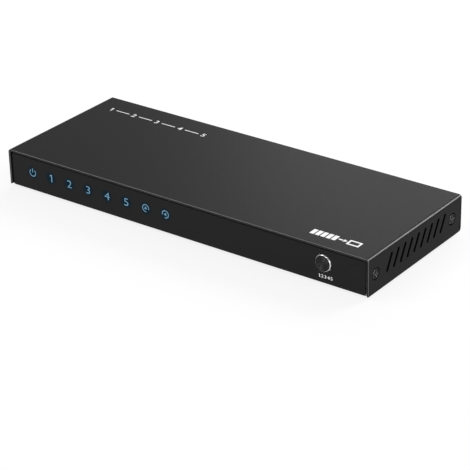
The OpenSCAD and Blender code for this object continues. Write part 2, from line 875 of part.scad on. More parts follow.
// Lamp behind an icon: a domed body with a rim, and two wires bent down to the board
module led(i) {
    r = led_d / 2;
    wire_end = block_back_y + led_rim_t + wire_back;
    color("#a9d8f2")
        translate([icon_x(i), block_back_y, icon_z])
            rotate([90, 0, 0]) {
                translate([0, 0, -led_rim_t]) cylinder(r = r + led_rim, h = led_rim_t);
                cylinder(r = r, h = led_len - r);
                translate([0, 0, led_len - r]) sphere(r);
            }
    color("#c9cbce")
        for (side = [-1, 1])
            translate([icon_x(i) + side * wire_pitch / 2 - wire_w / 2, 0, 0]) {
                translate([0, wire_end - wire_back, icon_z - wire_w / 2]) cube([wire_w, wire_back, wire_w]);
                translate([0, wire_end - wire_w, board_top])
                    cube([wire_w, wire_w, icon_z + wire_w / 2 - board_top]);
            }
}

// Light block: a bar on the board that holds the lamps and keeps their light apart
module led_light_block() {
    last = len(ICONS) - 1;
    side = window_d / 2 + block_wall;
    color("#0d0d0e")
        difference() {
            translate([icon_x(0) - side, front_in, board_top])
                cube([icon_x(last) - icon_x(0) + 2 * side, block_d, icon_z + side - board_top]);
            for (i = [0 : last])
                translate([icon_x(i), 0, icon_z]) {
                    run_forward(front_in + chamber_d, chamber_d + cut) circle(d = window_d);
                    run_forward(block_back_y + cut, block_d + cut) circle(d = led_d + 2 * led_gap);
                }
        }
}

// Row of bent leads along X, from the side of a chip at the origin out to +Y
module lead_row(count, shoulder) {
    knee = lead_len / 2;
    for (i = [0 : count - 1])
        translate([(i - (count - 1) / 2) * lead_pitch, 0, 0])
            run_across(lead_w)
                polygon([
                    [0, shoulder], [knee, shoulder], [knee, lead_t], [lead_len, lead_t], [lead_len, 0],
                    [knee - lead_t, 0], [knee - lead_t, shoulder - lead_t], [0, shoulder - lead_t]
                ]);
}

// Flat square chip, leads on all four sides, its body just clear of the board
module flat_chip(w, h) {
    count = floor((w - 2 * lead_pitch) / lead_pitch);
    translate([-w / 2, -w / 2, lead_t]) cube([w, w, h - lead_t]);
    for (turn = [0 : 90 : 270])
        rotate(turn) translate([0, w / 2, 0]) lead_row(count, h / 2);
}

// Chip that switches the video channels
module switch_chip() {
    color("#1a1a1c") on_board(chip_x, chip_y) flat_chip(chip_w, chip_h);
}

// Soft pad between that chip and the heat sink
module thermal_pad() {
    color("#8f9aa3")
        on_board(chip_x, chip_y)
            translate([-chip_w / 2, -chip_w / 2, chip_h]) cube([chip_w, chip_w, pad_t]);
}

// Extruded heat sink with upright fins
module heat_sink() {
    step = (sink_w - fin_t) / (fin_count - 1);
    color("#aeb2b6")
        on_board(chip_x, chip_y)
            translate([0, sink_w / 2, chip_h + pad_t])
                run_forward(0, sink_w) {
                    translate([-sink_w / 2, 0]) square([sink_w, sink_base]);
                    for (i = [0 : fin_count - 1])
                        translate([i * step - sink_w / 2, 0]) square([fin_t, sink_h]);
                }
}

// Chip that reads the button and the eye and lights the lamps
module control_chip() {
    color("#1a1a1c") on_board(control_x, control_y) flat_chip(control_w, control_h);
}

// Voltage regulator with three leads and a cooling tab
module regulator_chip() {
    lead_gap = regulator_w / 3;
    color("#1a1a1c")
        on_board(regulator_x, regulator_y) {
            translate([-regulator_w / 2, -regulator_d / 2, lead_t])
                cube([regulator_w, regulator_d, regulator_h - lead_t]);
            for (i = [-1 : 1])
                translate([i * lead_gap, regulator_d / 2, 0]) lead_row(1, regulator_h / 2);
            translate([-lead_gap / 2, -regulator_d / 2 - lead_len, 0]) cube([lead_gap, regulator_d, lead_t]);
        }
}

// Power inductor: a moulded square drum with cut corners and a round well in its top
module power_inductor() {
    half = coil_w / 2;
    color("#3a3a3d")
        on_board(coil_x, coil_y)
            difference() {
                linear_extrude(coil_h)
                    polygon([
                        [coil_cut - half, -half], [half - coil_cut, -half], [half, coil_cut - half],
                        [half, half - coil_cut], [half - coil_cut, half], [coil_cut - half, half],
                        [-half, half - coil_cut], [-half, coil_cut - half]
                    ]);
                translate([0, 0, coil_h - coil_well]) cylinder(d = coil_w - coil_cut, h = coil_well + cut);
            }
}

// Smoothing capacitor: a crimped can on a square base with two cut corners
module capacitor(side) {
    r = can_d / 2;
    groove = can_base_h + can_crimp;
    half = r + can_crimp;
    color("#b4b7bb")
        on_board(can_x + side * can_pitch / 2, can_y) {
            linear_extrude(can_base_h)
                polygon([
                    [-half, -half], [half, -half], [half, half - can_cut], [half - can_cut, half],
                    [can_cut - half, half], [-half, half - can_cut]
                ]);
            rotate_extrude()
                polygon([
                    [0, 0], [r, 0], [r, groove], [r - can_crimp, groove + can_crimp],
                    [r, groove + 2 * can_crimp], [r, can_h - can_crimp], [r - can_crimp, can_h], [0, can_h]
                ]);
        }
}

// Crystal: a low can with round ends on a wider foot
module crystal() {
    color("#c3c6ca")
        on_board(crystal_x, crystal_y)
            rotate(90) {
                linear_extrude(crystal_foot) slot(crystal_d + 2 * crystal_foot, crystal_l + 2 * crystal_foot);
                linear_extrude(crystal_h) slot(crystal_d, crystal_l);
            }
}

top_cover();
base_tray();
front_overlay();
cover_screws();
foot(-1, -1);  // foot_front_left
foot(1, -1);  // foot_front_right
foot(-1, 1);  // foot_rear_left
foot(1, 1);  // foot_rear_right
main_board();
board_standoffs();
board_screws();
for (i = [0 : len(SOCKETS) - 1]) {
    video_shell(i);
    video_tongue(i);
}
power_jack();
power_jack_pin();
ir_receiver();
select_button();
switch_plunger();
switch_dome();
switch_housing();
for (i = [0 : len(ICONS) - 1])
    led(i);
led_light_block();
switch_chip();
thermal_pad();
heat_sink();
control_chip();
regulator_chip();
power_inductor();
capacitor(-1);  // capacitor_left
capacitor(1);  // capacitor_right
crystal();
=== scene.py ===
import math

import bpy
from mathutils import Matrix, Vector


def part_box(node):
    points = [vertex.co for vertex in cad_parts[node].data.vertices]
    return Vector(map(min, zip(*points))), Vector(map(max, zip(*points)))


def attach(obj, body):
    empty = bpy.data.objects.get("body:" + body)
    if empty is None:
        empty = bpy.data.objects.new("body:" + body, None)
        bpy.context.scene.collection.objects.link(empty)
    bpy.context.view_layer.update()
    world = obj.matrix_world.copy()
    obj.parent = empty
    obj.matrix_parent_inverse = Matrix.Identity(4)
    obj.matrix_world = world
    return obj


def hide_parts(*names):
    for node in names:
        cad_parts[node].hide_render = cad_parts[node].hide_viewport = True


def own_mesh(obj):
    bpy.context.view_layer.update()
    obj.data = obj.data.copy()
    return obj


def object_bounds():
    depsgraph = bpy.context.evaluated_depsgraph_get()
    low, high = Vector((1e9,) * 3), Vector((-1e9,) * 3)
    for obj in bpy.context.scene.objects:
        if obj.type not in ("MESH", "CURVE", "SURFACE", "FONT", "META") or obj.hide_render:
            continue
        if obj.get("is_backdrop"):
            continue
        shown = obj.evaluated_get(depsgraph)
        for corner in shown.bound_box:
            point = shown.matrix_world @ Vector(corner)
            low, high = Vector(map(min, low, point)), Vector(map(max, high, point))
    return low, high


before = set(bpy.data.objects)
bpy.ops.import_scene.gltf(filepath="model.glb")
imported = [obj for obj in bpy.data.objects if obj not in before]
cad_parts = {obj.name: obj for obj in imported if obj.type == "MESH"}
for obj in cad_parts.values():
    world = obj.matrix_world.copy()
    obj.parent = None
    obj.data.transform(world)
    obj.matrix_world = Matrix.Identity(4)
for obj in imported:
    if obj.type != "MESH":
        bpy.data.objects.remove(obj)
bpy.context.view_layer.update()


# The tray is the lower half of the box: one steel sheet with front, rear and four screw ears folded up.
# It is punched, folded and powder coated satin black, and everything inside is fixed to it.
MM = 0.001
TRAY_EDGE = 0.2 * MM
WELD = 0.002 * MM
FLAT = math.radians(0.5)
CREASE = math.radians(40)
SMOOTH = math.radians(50)
COAT_DARK = (0.0095, 0.0095, 0.0099)
COAT_LIGHT = (0.0150, 0.0150, 0.0155)
COAT_GLOSS = (0.34, 0.44)
COAT_SHINE = 0.03
FOLD_PAINTED_SHEEN = (0.050, 0.050, 0.051)
FOLD_NORMAL = (0.78, 0.96)
ORANGE_PEEL = 0.7 * MM
POWDER_GRAIN = 0.16 * MM
COAT_RELIEF = 0.004 * MM


def new_finish(name, roughness=0.5, metallic=0.0, specular=0.5):
    """A new finish whose fixed values are set on the shader's own sockets."""
    finish = bpy.data.materials.new(name)
    finish.use_nodes = True
    feed(finish, shader_of(finish), {
        "Roughness": roughness,
        "Metallic": metallic,
        "Specular IOR Level": specular,
    })
    return finish


def shader_of(finish):
    """The shader that a finish ends in."""
    return finish.node_tree.nodes["Principled BSDF"]


def feed(finish, node, sockets):
    """Sets sockets of a node by name or number: a value as it stands, another node's output as a link."""
    for socket, value in sockets.items():
        if isinstance(value, bpy.types.NodeSocket):
            finish.node_tree.links.new(value, node.inputs[socket])
        else:
            node.inputs[socket].default_value = value


def add(finish, kind, sockets, out=0, **settings):
    """Adds a node to a finish and returns one of its outputs."""
    node = finish.node_tree.nodes.new("ShaderNode" + kind)
    for setting, value in settings.items():
        setattr(node, setting, value)
    feed(finish, node, sockets)
    return node.outputs[out]


def placed(finish, centre=(0, 0, 0), stretch=(1, 1, 1)):
    """The piece's own coordinates in metres, counted from a centre and drawn out by stretch."""
    place = add(finish, "TexCoord", {}, "Object")
    moved = add(finish, "VectorMath", {0: place, 1: centre}, operation="SUBTRACT")
    return add(finish, "VectorMath", {0: moved, 1: stretch}, operation="DIVIDE")


def speckle(finish, grain, stretch=(1, 1, 1), detail=2.0):
    """Noise in spots about as wide as grain, drawn out by stretch."""
    sockets = {"Vector": placed(finish, stretch=stretch), "Scale": 1 / grain, "Detail": detail}
    return add(finish, "TexNoise", sockets)


def spread(finish, value, low, high, start=0.3, end=0.7):
    """Takes a value that runs from start to end over to low to high."""
    sockets = {"Value": value, "From Min": start, "From Max": end, "To Min": low, "To Max": high}
    return add(finish, "MapRange", sockets, "Result")


def mixed(finish, share, first, second):
    """Colour that goes from first to second as share goes from 0 to 1."""
    ends = [c if isinstance(c, bpy.types.NodeSocket) else (*c, 1) for c in (first, second)]
    return add(finish, "Mix", {0: share, 6: ends[0], 7: ends[1]}, 2, data_type="RGBA")


def raised(finish, height, depth):
    """Surface normal that follows a height between 0 and 1, that many metres deep."""
    return add(finish, "Bump", {"Height": height, "Distance": depth, "Strength": 1.0}, "Normal")


def calculated(finish, operation, first, second=0.0):
    """Result of one step of arithmetic on outputs or numbers."""
    return add(finish, "Math", {0: first, 1: second}, operation=operation)


def apart(finish, place):
    """The three coordinates of a place."""
    split = finish.node_tree.nodes.new("ShaderNodeSeparateXYZ")
    feed(finish, split, {"Vector": place})
    return split.outputs


def over(finish, share, colour, roughness, metallic):
    """Lays a second surface over a finish where share is 1."""
    shader = shader_of(finish)
    for socket, value in (("Base Color", colour), ("Roughness", roughness), ("Metallic", metallic)):
        under = shader.inputs[socket]
        first = under.links[0].from_socket if under.is_linked else under.default_value
        if socket == "Base Color":
            laid = mixed(finish, share, first, value)
        else:
            laid = add(finish, "Mix", {0: share, 2: first, 3: value})
        feed(finish, shader, {socket: laid})
    return finish


def rounding(finish):
    """0 on the faces of the box and 1 in the middle of its folds and rounded edges."""
    normal = apart(finish, add(finish, "TexCoord", {}, "Normal"))
    x, y, z = (calculated(finish, "ABSOLUTE", part) for part in normal)
    steepest = calculated(finish, "MAXIMUM", calculated(finish, "MAXIMUM", x, y), z)
    return spread(finish, steepest, 1, 0, *FOLD_NORMAL)


def powder_coat(name):
    """Baked powder with a fine grain and a slight orange peel, and a painted metallic sheen on its folds and
    rounded edges that makes them show a bright highlight line.
    """
    finish = new_finish(name, specular=COAT_SHINE)
    peel = speckle(finish, ORANGE_PEEL)
    grain = speckle(finish, POWDER_GRAIN, detail=3)
    feed(finish, shader_of(finish), {
        "Base Color": mixed(finish, spread(finish, grain, 0, 1), COAT_DARK, COAT_LIGHT),
        "Roughness": spread(finish, peel, *COAT_GLOSS),
        "Normal": raised(finish, calculated(finish, "ADD", peel, grain), COAT_RELIEF),
    })
    # Painted sheen: the folds and rounded edges turn dark metal, so that they catch a bright highlight line.
    return over(finish, rounding(finish), FOLD_PAINTED_SHEEN, roughness=COAT_GLOSS[0], metallic=1.0)


def take_up(piece):
    """Selects one piece alone and makes it the active one."""
    bpy.ops.object.select_all(action="DESELECT")
    piece.select_set(True)
    bpy.context.view_layer.objects.active = piece


def settled(piece, kind, **settings):
    """Adds a modifier to a piece and applies it."""
    take_up(piece)
    modifier = piece.modifiers.new(kind.lower(), kind)
    for setting, value in settings.items():
        setattr(modifier, setting, value)
    bpy.ops.object.modifier_apply(modifier=modifier.name)


def smoothed(piece):
    """Shades round stretches smooth, and keeps flat faces flat and sharp corners sharp."""
    take_up(piece)
    bpy.ops.object.shade_smooth_by_angle(angle=SMOOTH)
    settled(piece, "WEIGHTED_NORMAL", keep_sharp=True)
    return piece


def sharp_edges(piece):
    """The edges of a piece where its faces meet at more than a slight angle."""
    take_up(piece)
    bpy.ops.object.mode_set(mode="EDIT")
    bpy.ops.mesh.select_mode(type="EDGE")
    bpy.ops.mesh.select_all(action="DESELECT")
    bpy.ops.mesh.edges_select_sharp(sharpness=CREASE)
    bpy.ops.object.mode_set(mode="OBJECT")
    return [edge for edge in piece.data.edges if edge.select]


def rounded_off(piece, width, steps=2, share=lambda middle: 1):
    """Rounds the sharp edges of a piece, each by the share of width that its middle's place calls for."""
    corners = piece.data.vertices
    shares = {edge.index: share((corners[edge.vertices[0]].co + corners[edge.vertices[1]].co) / 2)
              for edge in sharp_edges(piece)}
    weights = piece.data.attributes.new("bevel_weight_edge", "FLOAT", "EDGE")
    for index, value in shares.items():
        weights.data[index].value = value
    settled(piece, "BEVEL", width=width, segments=steps, limit_method="WEIGHT", use_clamp_overlap=False)
    return smoothed(piece)


def lifted(node):
    """A copy of a solid as one clean mesh, shown in the solid's place while the solid itself is hidden."""
    piece = bpy.data.objects.new(node + "_finished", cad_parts[node].data.copy())
    bpy.context.scene.collection.objects.link(piece)
    take_up(piece)
    bpy.ops.mesh.customdata_custom_splitnormals_clear()
    bpy.ops.object.mode_set(mode="EDIT")
    bpy.ops.mesh.select_all(action="SELECT")
    bpy.ops.mesh.remove_doubles(threshold=WELD)
    bpy.ops.mesh.dissolve_limited(angle_limit=FLAT)
    bpy.ops.object.mode_set(mode="OBJECT")
    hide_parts(node)
    return piece


def broken_edges(node, width, **rounding_off):
    """A solid with its sharp edges rounded off by width."""
    return rounded_off(lifted(node), width, **rounding_off)


def fit(piece, finish, body="case"):
    """Gives a piece its finish and the body that it moves with."""
    piece.data.materials.clear()
    piece.data.materials.append(finish)
    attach(piece, body)
    return piece


def dress(node, finish):
    """Gives a solid that shows as it is its finish."""
    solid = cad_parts[node]
    solid.data.materials.clear()
    solid.data.materials.append(finish)


satin_black = powder_coat("satin black coat")
fit(broken_edges("base_tray", TRAY_EDGE), satin_black)


# Four pillars are swaged into the tray's floor and carry the board, which four pan-head screws hold down.
# Both are turned from steel and zinc plated, bright with a faint blue cast and fine turning marks.
PLATED_EDGE = 0.08 * MM
ZINC = ((0.46, 0.48, 0.50), (0.62, 0.63, 0.64))


def plated(name, colours, gloss, grain, stretch=(1, 1, 1), relief=0.003 * MM):
    """Bright metal with a grain that clouds its colour and its gloss."""
    finish = new_finish(name, metallic=1.0)
    cloud = speckle(finish, grain, stretch, detail=4)
    feed(finish, shader_of(finish), {
        "Base Color": mixed(finish, spread(finish, cloud, 0, 1), *colours),
        "Roughness": spread(finish, cloud, *gloss),
        "Normal": raised(finish, cloud, relief),
    })
    return finish


zinc = plated("zinc plate", ZINC, gloss=(0.24, 0.40), grain=0.4 * MM, stretch=(4, 4, 1))
for fastener in ("board_standoffs", "board_screws"):
    fit(broken_edges(fastener, PLATED_EDGE), zinc)


# The circuit board is glass-fibre laminate with copper tracks under a green solder mask.
# It is cut to shape with bare laminate at its edges, and screwed to the four pillars.
MASK_GREEN = (0.006, 0.060, 0.026)
TRACK_GREEN = (0.016, 0.125, 0.058)
LAMINATE = (0.42, 0.36, 0.20)
GLASS_GRAIN = 0.3 * MM
GLASS_SHADE = 0.7
TRACK_PITCH = 1.1 * MM
TRACK_FIELD = 9 * MM
TRACK_SIDE = (0.72, 0.78)
TRACK_RELIEF = 0.02 * MM
WAVE_TURNS = 20
HALF = 0.5


def solder_mask(name):
    """Green lacquer over tracks in bundles along or across the board, and plain laminate at the cut edge."""
    finish = new_finish(name, roughness=0.3)
    place = placed(finish)
    bands = 2 * math.pi / (WAVE_TURNS * TRACK_PITCH)
    along, across = (
        add(finish, "TexWave", {"Vector": place, "Scale": bands}, "Fac", bands_direction=way) for way in "XY"
    )
    field = add(finish, "TexVoronoi", {"Vector": place, "Scale": 1 / TRACK_FIELD}, "Color")
    runs = add(finish, "SeparateColor", {"Color": field})
    crosswise = calculated(finish, "GREATER_THAN", runs, HALF)
    lines = add(finish, "Mix", {0: crosswise, 2: along, 3: across})
    track = spread(finish, lines, 0, 1, *TRACK_SIDE)
    normal = add(finish, "NewGeometry", {}, "Normal")
    upward = calculated(finish, "ABSOLUTE", add(finish, "SeparateXYZ", {"Vector": normal}, "Z"))
    face = calculated(finish, "GREATER_THAN", upward, HALF)
    shaded = [GLASS_SHADE * part for part in LAMINATE]
    glass = mixed(finish, speckle(finish, GLASS_GRAIN), shaded, LAMINATE)
    feed(finish, shader_of(finish), {
        "Base Color": mixed(finish, face, glass, mixed(finish, track, MASK_GREEN, TRACK_GREEN)),
        "Normal": raised(finish, track, TRACK_RELIEF),
    })
    return finish


dress("main_board", solder_mask("green solder mask"))


# The switch chip, the control chip and the regulator are black epoxy blocks with bent, tinned copper leads.
# They are moulded with a dot at the first lead, and soldered flat to the board.
EPOXY = ((0.010, 0.010, 0.011), (0.022, 0.022, 0.023))
TIN = (0.55, 0.56, 0.56)
TIN_GLOSS = 0.3
CHIP_LEAD = 1.2 * MM
DOT_INSET = 1.4 * MM
DOT_SIZE = 0.45 * MM
DOT_GREY = (0.06, 0.06, 0.06)


def moulded(name, colours, gloss, grain, relief=0.008 * MM, specular=0.4):
    """Moulded plastic with a fine matt grain."""
    finish = new_finish(name, specular=specular)
    cloud = speckle(finish, grain, detail=3)
    feed(finish, shader_of(finish), {
        "Base Color": mixed(finish, spread(finish, cloud, 0, 1), *colours),
        "Roughness": spread(finish, cloud, *gloss),
        "Normal": raised(finish, cloud, relief),
    })
    return finish


def chip_epoxy(node):
    """Black epoxy within a chip's body, tin on the leads that stand out of it, and a dot in one corner."""
    finish = moulded(node.replace("_", " ") + " epoxy", EPOXY, gloss=(0.5, 0.65), grain=0.12 * MM)
    low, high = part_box(node)
    centre = (low + high) / 2
    half = (high.x - low.x) / 2 - CHIP_LEAD
    place = apart(finish, placed(finish, centre))
    reach = calculated(finish, "MAXIMUM", *(calculated(finish, "ABSOLUTE", place[way]) for way in "XY"))
    leads = calculated(finish, "GREATER_THAN", reach, half)
    over(finish, leads, TIN, TIN_GLOSS, metallic=1.0)
    corner = centre + Vector((DOT_INSET - half, DOT_INSET - half, high.z - centre.z))
    away = add(finish, "VectorMath", {0: placed(finish, corner)}, "Value", operation="LENGTH")
    dot = calculated(finish, "LESS_THAN", away, DOT_SIZE)
    return over(finish, dot, DOT_GREY, roughness=0.35, metallic=0.0)


for node in ("switch_chip", "control_chip", "regulator_chip"):
    dress(node, chip_epoxy(node))


# A soft silicone pad carries the switch chip's heat to a finned sink that lies on it.
# The sink is extruded aluminium, cut to length and left bare, with draw lines along its fins.
PAD_GREY = ((0.16, 0.19, 0.22), (0.26, 0.29, 0.32))
ALUMINIUM = ((0.56, 0.57, 0.58), (0.72, 0.73, 0.74))
SINK_EDGE = 0.12 * MM

silicone = moulded("silicone pad", PAD_GREY, gloss=(0.7, 0.9), grain=0.5 * MM)
fit(broken_edges("thermal_pad", SINK_EDGE), silicone)
drawn_aluminium = plated("drawn aluminium", ALUMINIUM, gloss=(0.30, 0.46), grain=0.25 * MM,
                         stretch=(1, 30, 1))
fit(broken_edges("heat_sink", SINK_EDGE), drawn_aluminium)


# The power inductor is a pressed ferrite drum, the two smoothing capacitors are crimped aluminium cans.
# The crystal stands beside them in a drawn can; all are soldered to the board.
CAN_EDGE = 0.15 * MM
FERRITE = ((0.030, 0.030, 0.032), (0.070, 0.070, 0.074))
CAN_BASE = 1.0 * MM
CAN_MARK = 1.3 * MM
CAN_TOP = 0.05 * MM
BASE_BLACK = (0.012, 0.012, 0.012)
NICKEL = ((0.52, 0.51, 0.48), (0.68, 0.66, 0.63))

ferrite = moulded("pressed ferrite", FERRITE, gloss=(0.55, 0.8), grain=0.2 * MM)
fit(broken_edges("power_inductor", CAN_EDGE), ferrite)
for node in ("capacitor_left", "capacitor_right"):
    low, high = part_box(node)
    middle = (low + high) / 2
    name = node.replace("_", " ") + " can"
    can = plated(name, ALUMINIUM, gloss=(0.22, 0.36), grain=0.3 * MM, stretch=(1, 1, 6))
    place = apart(can, placed(can, (middle.x, middle.y, high.z)))
    base = calculated(can, "LESS_THAN", place["Z"], low.z + CAN_BASE - high.z)
    over(can, base, BASE_BLACK, roughness=0.5, metallic=0.0)
    on_top = calculated(can, "GREATER_THAN", place["Z"], -CAN_TOP)
    marked = calculated(can, "MULTIPLY", on_top, calculated(can, "LESS_THAN", place["X"], -CAN_MARK))
    over(can, marked, BASE_BLACK, roughness=0.45, metallic=0.0)
    dress(node, can)
nickel = plated("bright nickel", NICKEL, gloss=(0.18, 0.32), grain=0.5 * MM, stretch=(1, 6, 1))
fit(broken_edges("crystal", CAN_EDGE), nickel)


# The shell of a video socket is a folded steel tube, tin plated, on four legs in slots of the board.
# Four spring fingers in its wide walls press on the plug; they are cut from the sheet and bent inwards.
SOCKETS = ("out", "1", "2", "3", "4", "5")
SHELL_EDGE = 0.08 * MM
SHELL_T = 0.4 * MM
SOCKET_H = 4.55 * MM
PLATE = ((0.50, 0.50, 0.49), (0.66, 0.66, 0.65))
FINGER_W = 1.7 * MM
FINGER_T = 0.15 * MM
FINGER_LEN = 5.6 * MM
FINGER_BEND = 0.45 * MM
FINGER_APART = 5.0 * MM
FINGER_BACK = 0.9 * MM
FINGER_STEPS = 8


def sole(name, pieces):
    """Joins pieces into one and names it."""
    take_up(pieces[0])
    for piece in pieces:
        piece.select_set(True)
    bpy.ops.object.join()
    joined = bpy.context.active_object
    joined.name = name
    return joined


def picked(piece, kind, wanted):
    """Opens a piece for editing with only the wanted points or faces selected."""
    take_up(piece)
    bpy.ops.object.mode_set(mode="EDIT")
    bpy.ops.mesh.select_mode(type=kind)
    bpy.ops.mesh.select_all(action="DESELECT")
    bpy.ops.object.mode_set(mode="OBJECT")
    for part in piece.data.vertices if kind == "VERT" else piece.data.polygons:
        part.select = wanted(part)
    bpy.ops.object.mode_set(mode="EDIT")


def bent_strip(width, thickness, points):
    """A strip of sheet across X, drawn from point to point and then given its thickness."""
    bpy.ops.object.select_all(action="DESELECT")
    bpy.ops.mesh.primitive_plane_add(size=width)
    strip = bpy.context.active_object
    picked(strip, "VERT", lambda corner: corner.co.y > 0)
    bpy.ops.mesh.delete(type="VERT")
    bpy.ops.mesh.select_all(action="SELECT")
    bpy.ops.transform.translate(value=points[0] + Vector((0, width / 2, 0)))
    for here, there in zip(points, points[1:]):
        bpy.ops.mesh.extrude_edges_move(TRANSFORM_OT_translate={"value": there - here})
    bpy.ops.object.mode_set(mode="OBJECT")
    settled(strip, "SOLIDIFY", thickness=thickness, offset=0)
    return strip


def copied(piece, name, shift):
    """A copy of a finished piece with its own mesh, moved by shift."""
    take_up(piece)
    bpy.ops.object.duplicate()
    copy = bpy.context.active_object
    copy.name = name
    copy.location = shift
    bpy.ops.object.transform_apply(location=True, rotation=False, scale=False)
    return copy


def finger_path(x, wall_z, inward):
    """Points of a spring finger that starts in a shell's wall and bows inwards on its way to the back."""
    steps = [i / FINGER_STEPS for i in range(FINGER_STEPS + 1)]
    start_y = shell_mouth - FINGER_BACK
    bend = inward * FINGER_BEND
    return [Vector((x, start_y - s * FINGER_LEN, wall_z + bend * math.sin(math.pi * s))) for s in steps]


def shell_rim(middle):
    """Only the rim of a shell's mouth is rounded."""
    return 1 if middle.y > shell_mouth - SHELL_EDGE else 0


tin_plate = plated("tin plate", PLATE, gloss=(0.22, 0.36), grain=0.5 * MM, stretch=(1, 8, 1))
low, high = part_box("video_shell_out")
shell_mouth = high.y
first_x = (low.x + high.x) / 2
inner_top = high.z - SHELL_T
fingers = sole("video_springs_out", [
    bent_strip(FINGER_W, FINGER_T, finger_path(first_x + side * FINGER_APART / 2, wall_z, inward))
    for side in (-1, 1)
    for wall_z, inward in ((inner_top, -1), (inner_top - SOCKET_H, 1))
])
for name in SOCKETS:
    shell = "video_shell_" + name
    low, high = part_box(shell)
    fit(broken_edges(shell, SHELL_EDGE, share=shell_rim), tin_plate)
    if name != SOCKETS[0]:
        shift = Vector(((low.x + high.x) / 2 - first_x, 0, 0))
        fit(smoothed(copied(fingers, "video_springs_" + name, shift)), tin_plate)
fit(smoothed(fingers), tin_plate)


# The tongue of a video socket is moulded in black glass-filled plastic with the block that fills the shell.
# Nineteen gold-plated contacts lie in its two faces, ten above and nine below, half a pitch apart.
TONGUE_T = 1.9 * MM
CORE_LEN = 3.5 * MM
TONGUE_EDGE = 0.12 * MM
CONTACT_ROWS = ((10, 1), (9, -1))
CONTACT_PITCH = 1.0 * MM
CONTACT_W = 0.5 * MM
CONTACT_T = 0.16 * MM
CONTACT_BACK = 0.4 * MM
SOCKET_BLACK = ((0.008, 0.008, 0.008), (0.018, 0.018, 0.018))
GOLD = ((0.72, 0.48, 0.16), (0.88, 0.63, 0.26))


def contact_row(count, tongue_tip, face_z, back_y):
    """A row of flat contacts side by side, half sunk in one face of a tongue."""
    length = tongue_tip.y - CONTACT_BACK - back_y
    bpy.ops.object.select_all(action="DESELECT")
    bpy.ops.mesh.primitive_cube_add(size=1, scale=(CONTACT_W, length, CONTACT_T))
    row = bpy.context.active_object
    bpy.ops.object.transform_apply(location=False, rotation=False, scale=True)
    rounded_off(row, CONTACT_T / 4)
    settled(row, "ARRAY", count=count, use_relative_offset=False, use_constant_offset=True,
            constant_offset_displace=(CONTACT_PITCH, 0, 0))
    row.location = (tongue_tip.x - (count - 1) * CONTACT_PITCH / 2, back_y + length / 2, face_z)
    bpy.ops.object.transform_apply(location=True, rotation=False, scale=False)
    return row


tongue_black = moulded("glass-filled black", SOCKET_BLACK, gloss=(0.45, 0.6), grain=0.15 * MM)
gold = plated("gold plate", GOLD, gloss=(0.16, 0.30), grain=0.4 * MM, stretch=(1, 5, 1))
low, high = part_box("video_tongue_out")
tip = Vector(((low.x + high.x) / 2, high.y, (low.z + high.z) / 2))
contacts = sole("video_contacts_out", [
    contact_row(count, tip, tip.z + side * TONGUE_T / 2, low.y + CORE_LEN) for count, side in CONTACT_ROWS
])
for name in SOCKETS:
    tongue = "video_tongue_" + name
    low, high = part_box(tongue)
    fit(broken_edges(tongue, TONGUE_EDGE), tongue_black)
    if name != SOCKETS[0]:
        shift = Vector(((low.x + high.x) / 2 - tip.x, 0, 0))
        fit(copied(contacts, "video_contacts_" + name, shift), gold)
fit(contacts, gold)


# The power inlet is a black moulded block with a round nose through the rear wall, soldered to the board.
# Its centre pin is turned brass, nickel plated, and a bowed steel leaf in the hole meets the plug's sleeve.
INLET_EDGE = 0.15 * MM
INLET_BORE = 6.3 * MM
LEAF_W = 1.6 * MM
LEAF_T = 0.25 * MM
LEAF_BEND = 0.5 * MM
LEAF_FROM = 1.4 * MM
LEAF_LEN = 7.0 * MM
LEAF_STEPS = 10

inlet_black = moulded("inlet black", SOCKET_BLACK, gloss=(0.38, 0.52), grain=0.2 * MM)
fit(broken_edges("power_jack", INLET_EDGE), inlet_black)
dress("power_jack_pin", nickel)
low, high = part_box("power_jack")
leaf_floor = (low.z + high.z) / 2 - INLET_BORE / 2 + LEAF_T / 2
leaf = bent_strip(LEAF_W, LEAF_T, [
    Vector(((low.x + high.x) / 2, high.y - LEAF_FROM - LEAF_LEN * i / LEAF_STEPS,
            leaf_floor + LEAF_BEND * math.sin(math.pi * i / LEAF_STEPS)))
    for i in range(LEAF_STEPS + 1)
])
leaf.name = "power_jack_leaf"
fit(smoothed(leaf), nickel)


# The light block is a black moulded bar on the board, which keeps the light of one lamp from the next icon.
# The eight lamps are clear blue epoxy on two tinned wires, pushed into it from behind.
ICONS = ("power", "1", "2", "3", "4", "5", "auto", "return")
LAMP_BLUE = ((0.30, 0.62, 0.82), (0.42, 0.74, 0.92))
LAMP_GLOW = (0.18, 0.55, 1.0, 1)
LAMP_LIGHT = 0.5
LAMP_RIM = 1.0 * MM

block_black = moulded("light block black", SOCKET_BLACK, gloss=(0.55, 0.7), grain=0.2 * MM)
fit(broken_edges("led_light_block", INLET_EDGE), block_black)
block_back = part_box("led_light_block")[1].y
lamp = moulded("lit blue lamp", LAMP_BLUE, gloss=(0.10, 0.20), grain=0.6 * MM, specular=0.5)
feed(lamp, shader_of(lamp), {"Emission Color": LAMP_GLOW, "Emission Strength": LAMP_LIGHT})
wires = calculated(lamp, "GREATER_THAN", apart(lamp, placed(lamp))["Y"], block_back + LAMP_RIM)
over(lamp, wires, TIN, TIN_GLOSS, metallic=1.0)
for icon in ICONS:
    dress("led_" + icon, lamp)


# The infra-red eye is a dark red-black epoxy body with a round lens, on three tinned wires.
# It stands on the board behind the front panel, which lets infra-red light through.
EYE_BLACK = ((0.012, 0.006, 0.007), (0.022, 0.011, 0.013))
EYE_LIFT = 0.6 * MM

eye_epoxy = moulded("eye epoxy", EYE_BLACK, gloss=(0.12, 0.2), grain=0.4 * MM, relief=0.002 * MM,
                    specular=0.5)
wires_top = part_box("ir_receiver")[0].z + EYE_LIFT
wires = calculated(eye_epoxy, "LESS_THAN", apart(eye_epoxy, placed(eye_epoxy))["Z"], wires_top)
over(eye_epoxy, wires, TIN, TIN_GLOSS, metallic=1.0)
dress("ir_receiver", eye_epoxy)


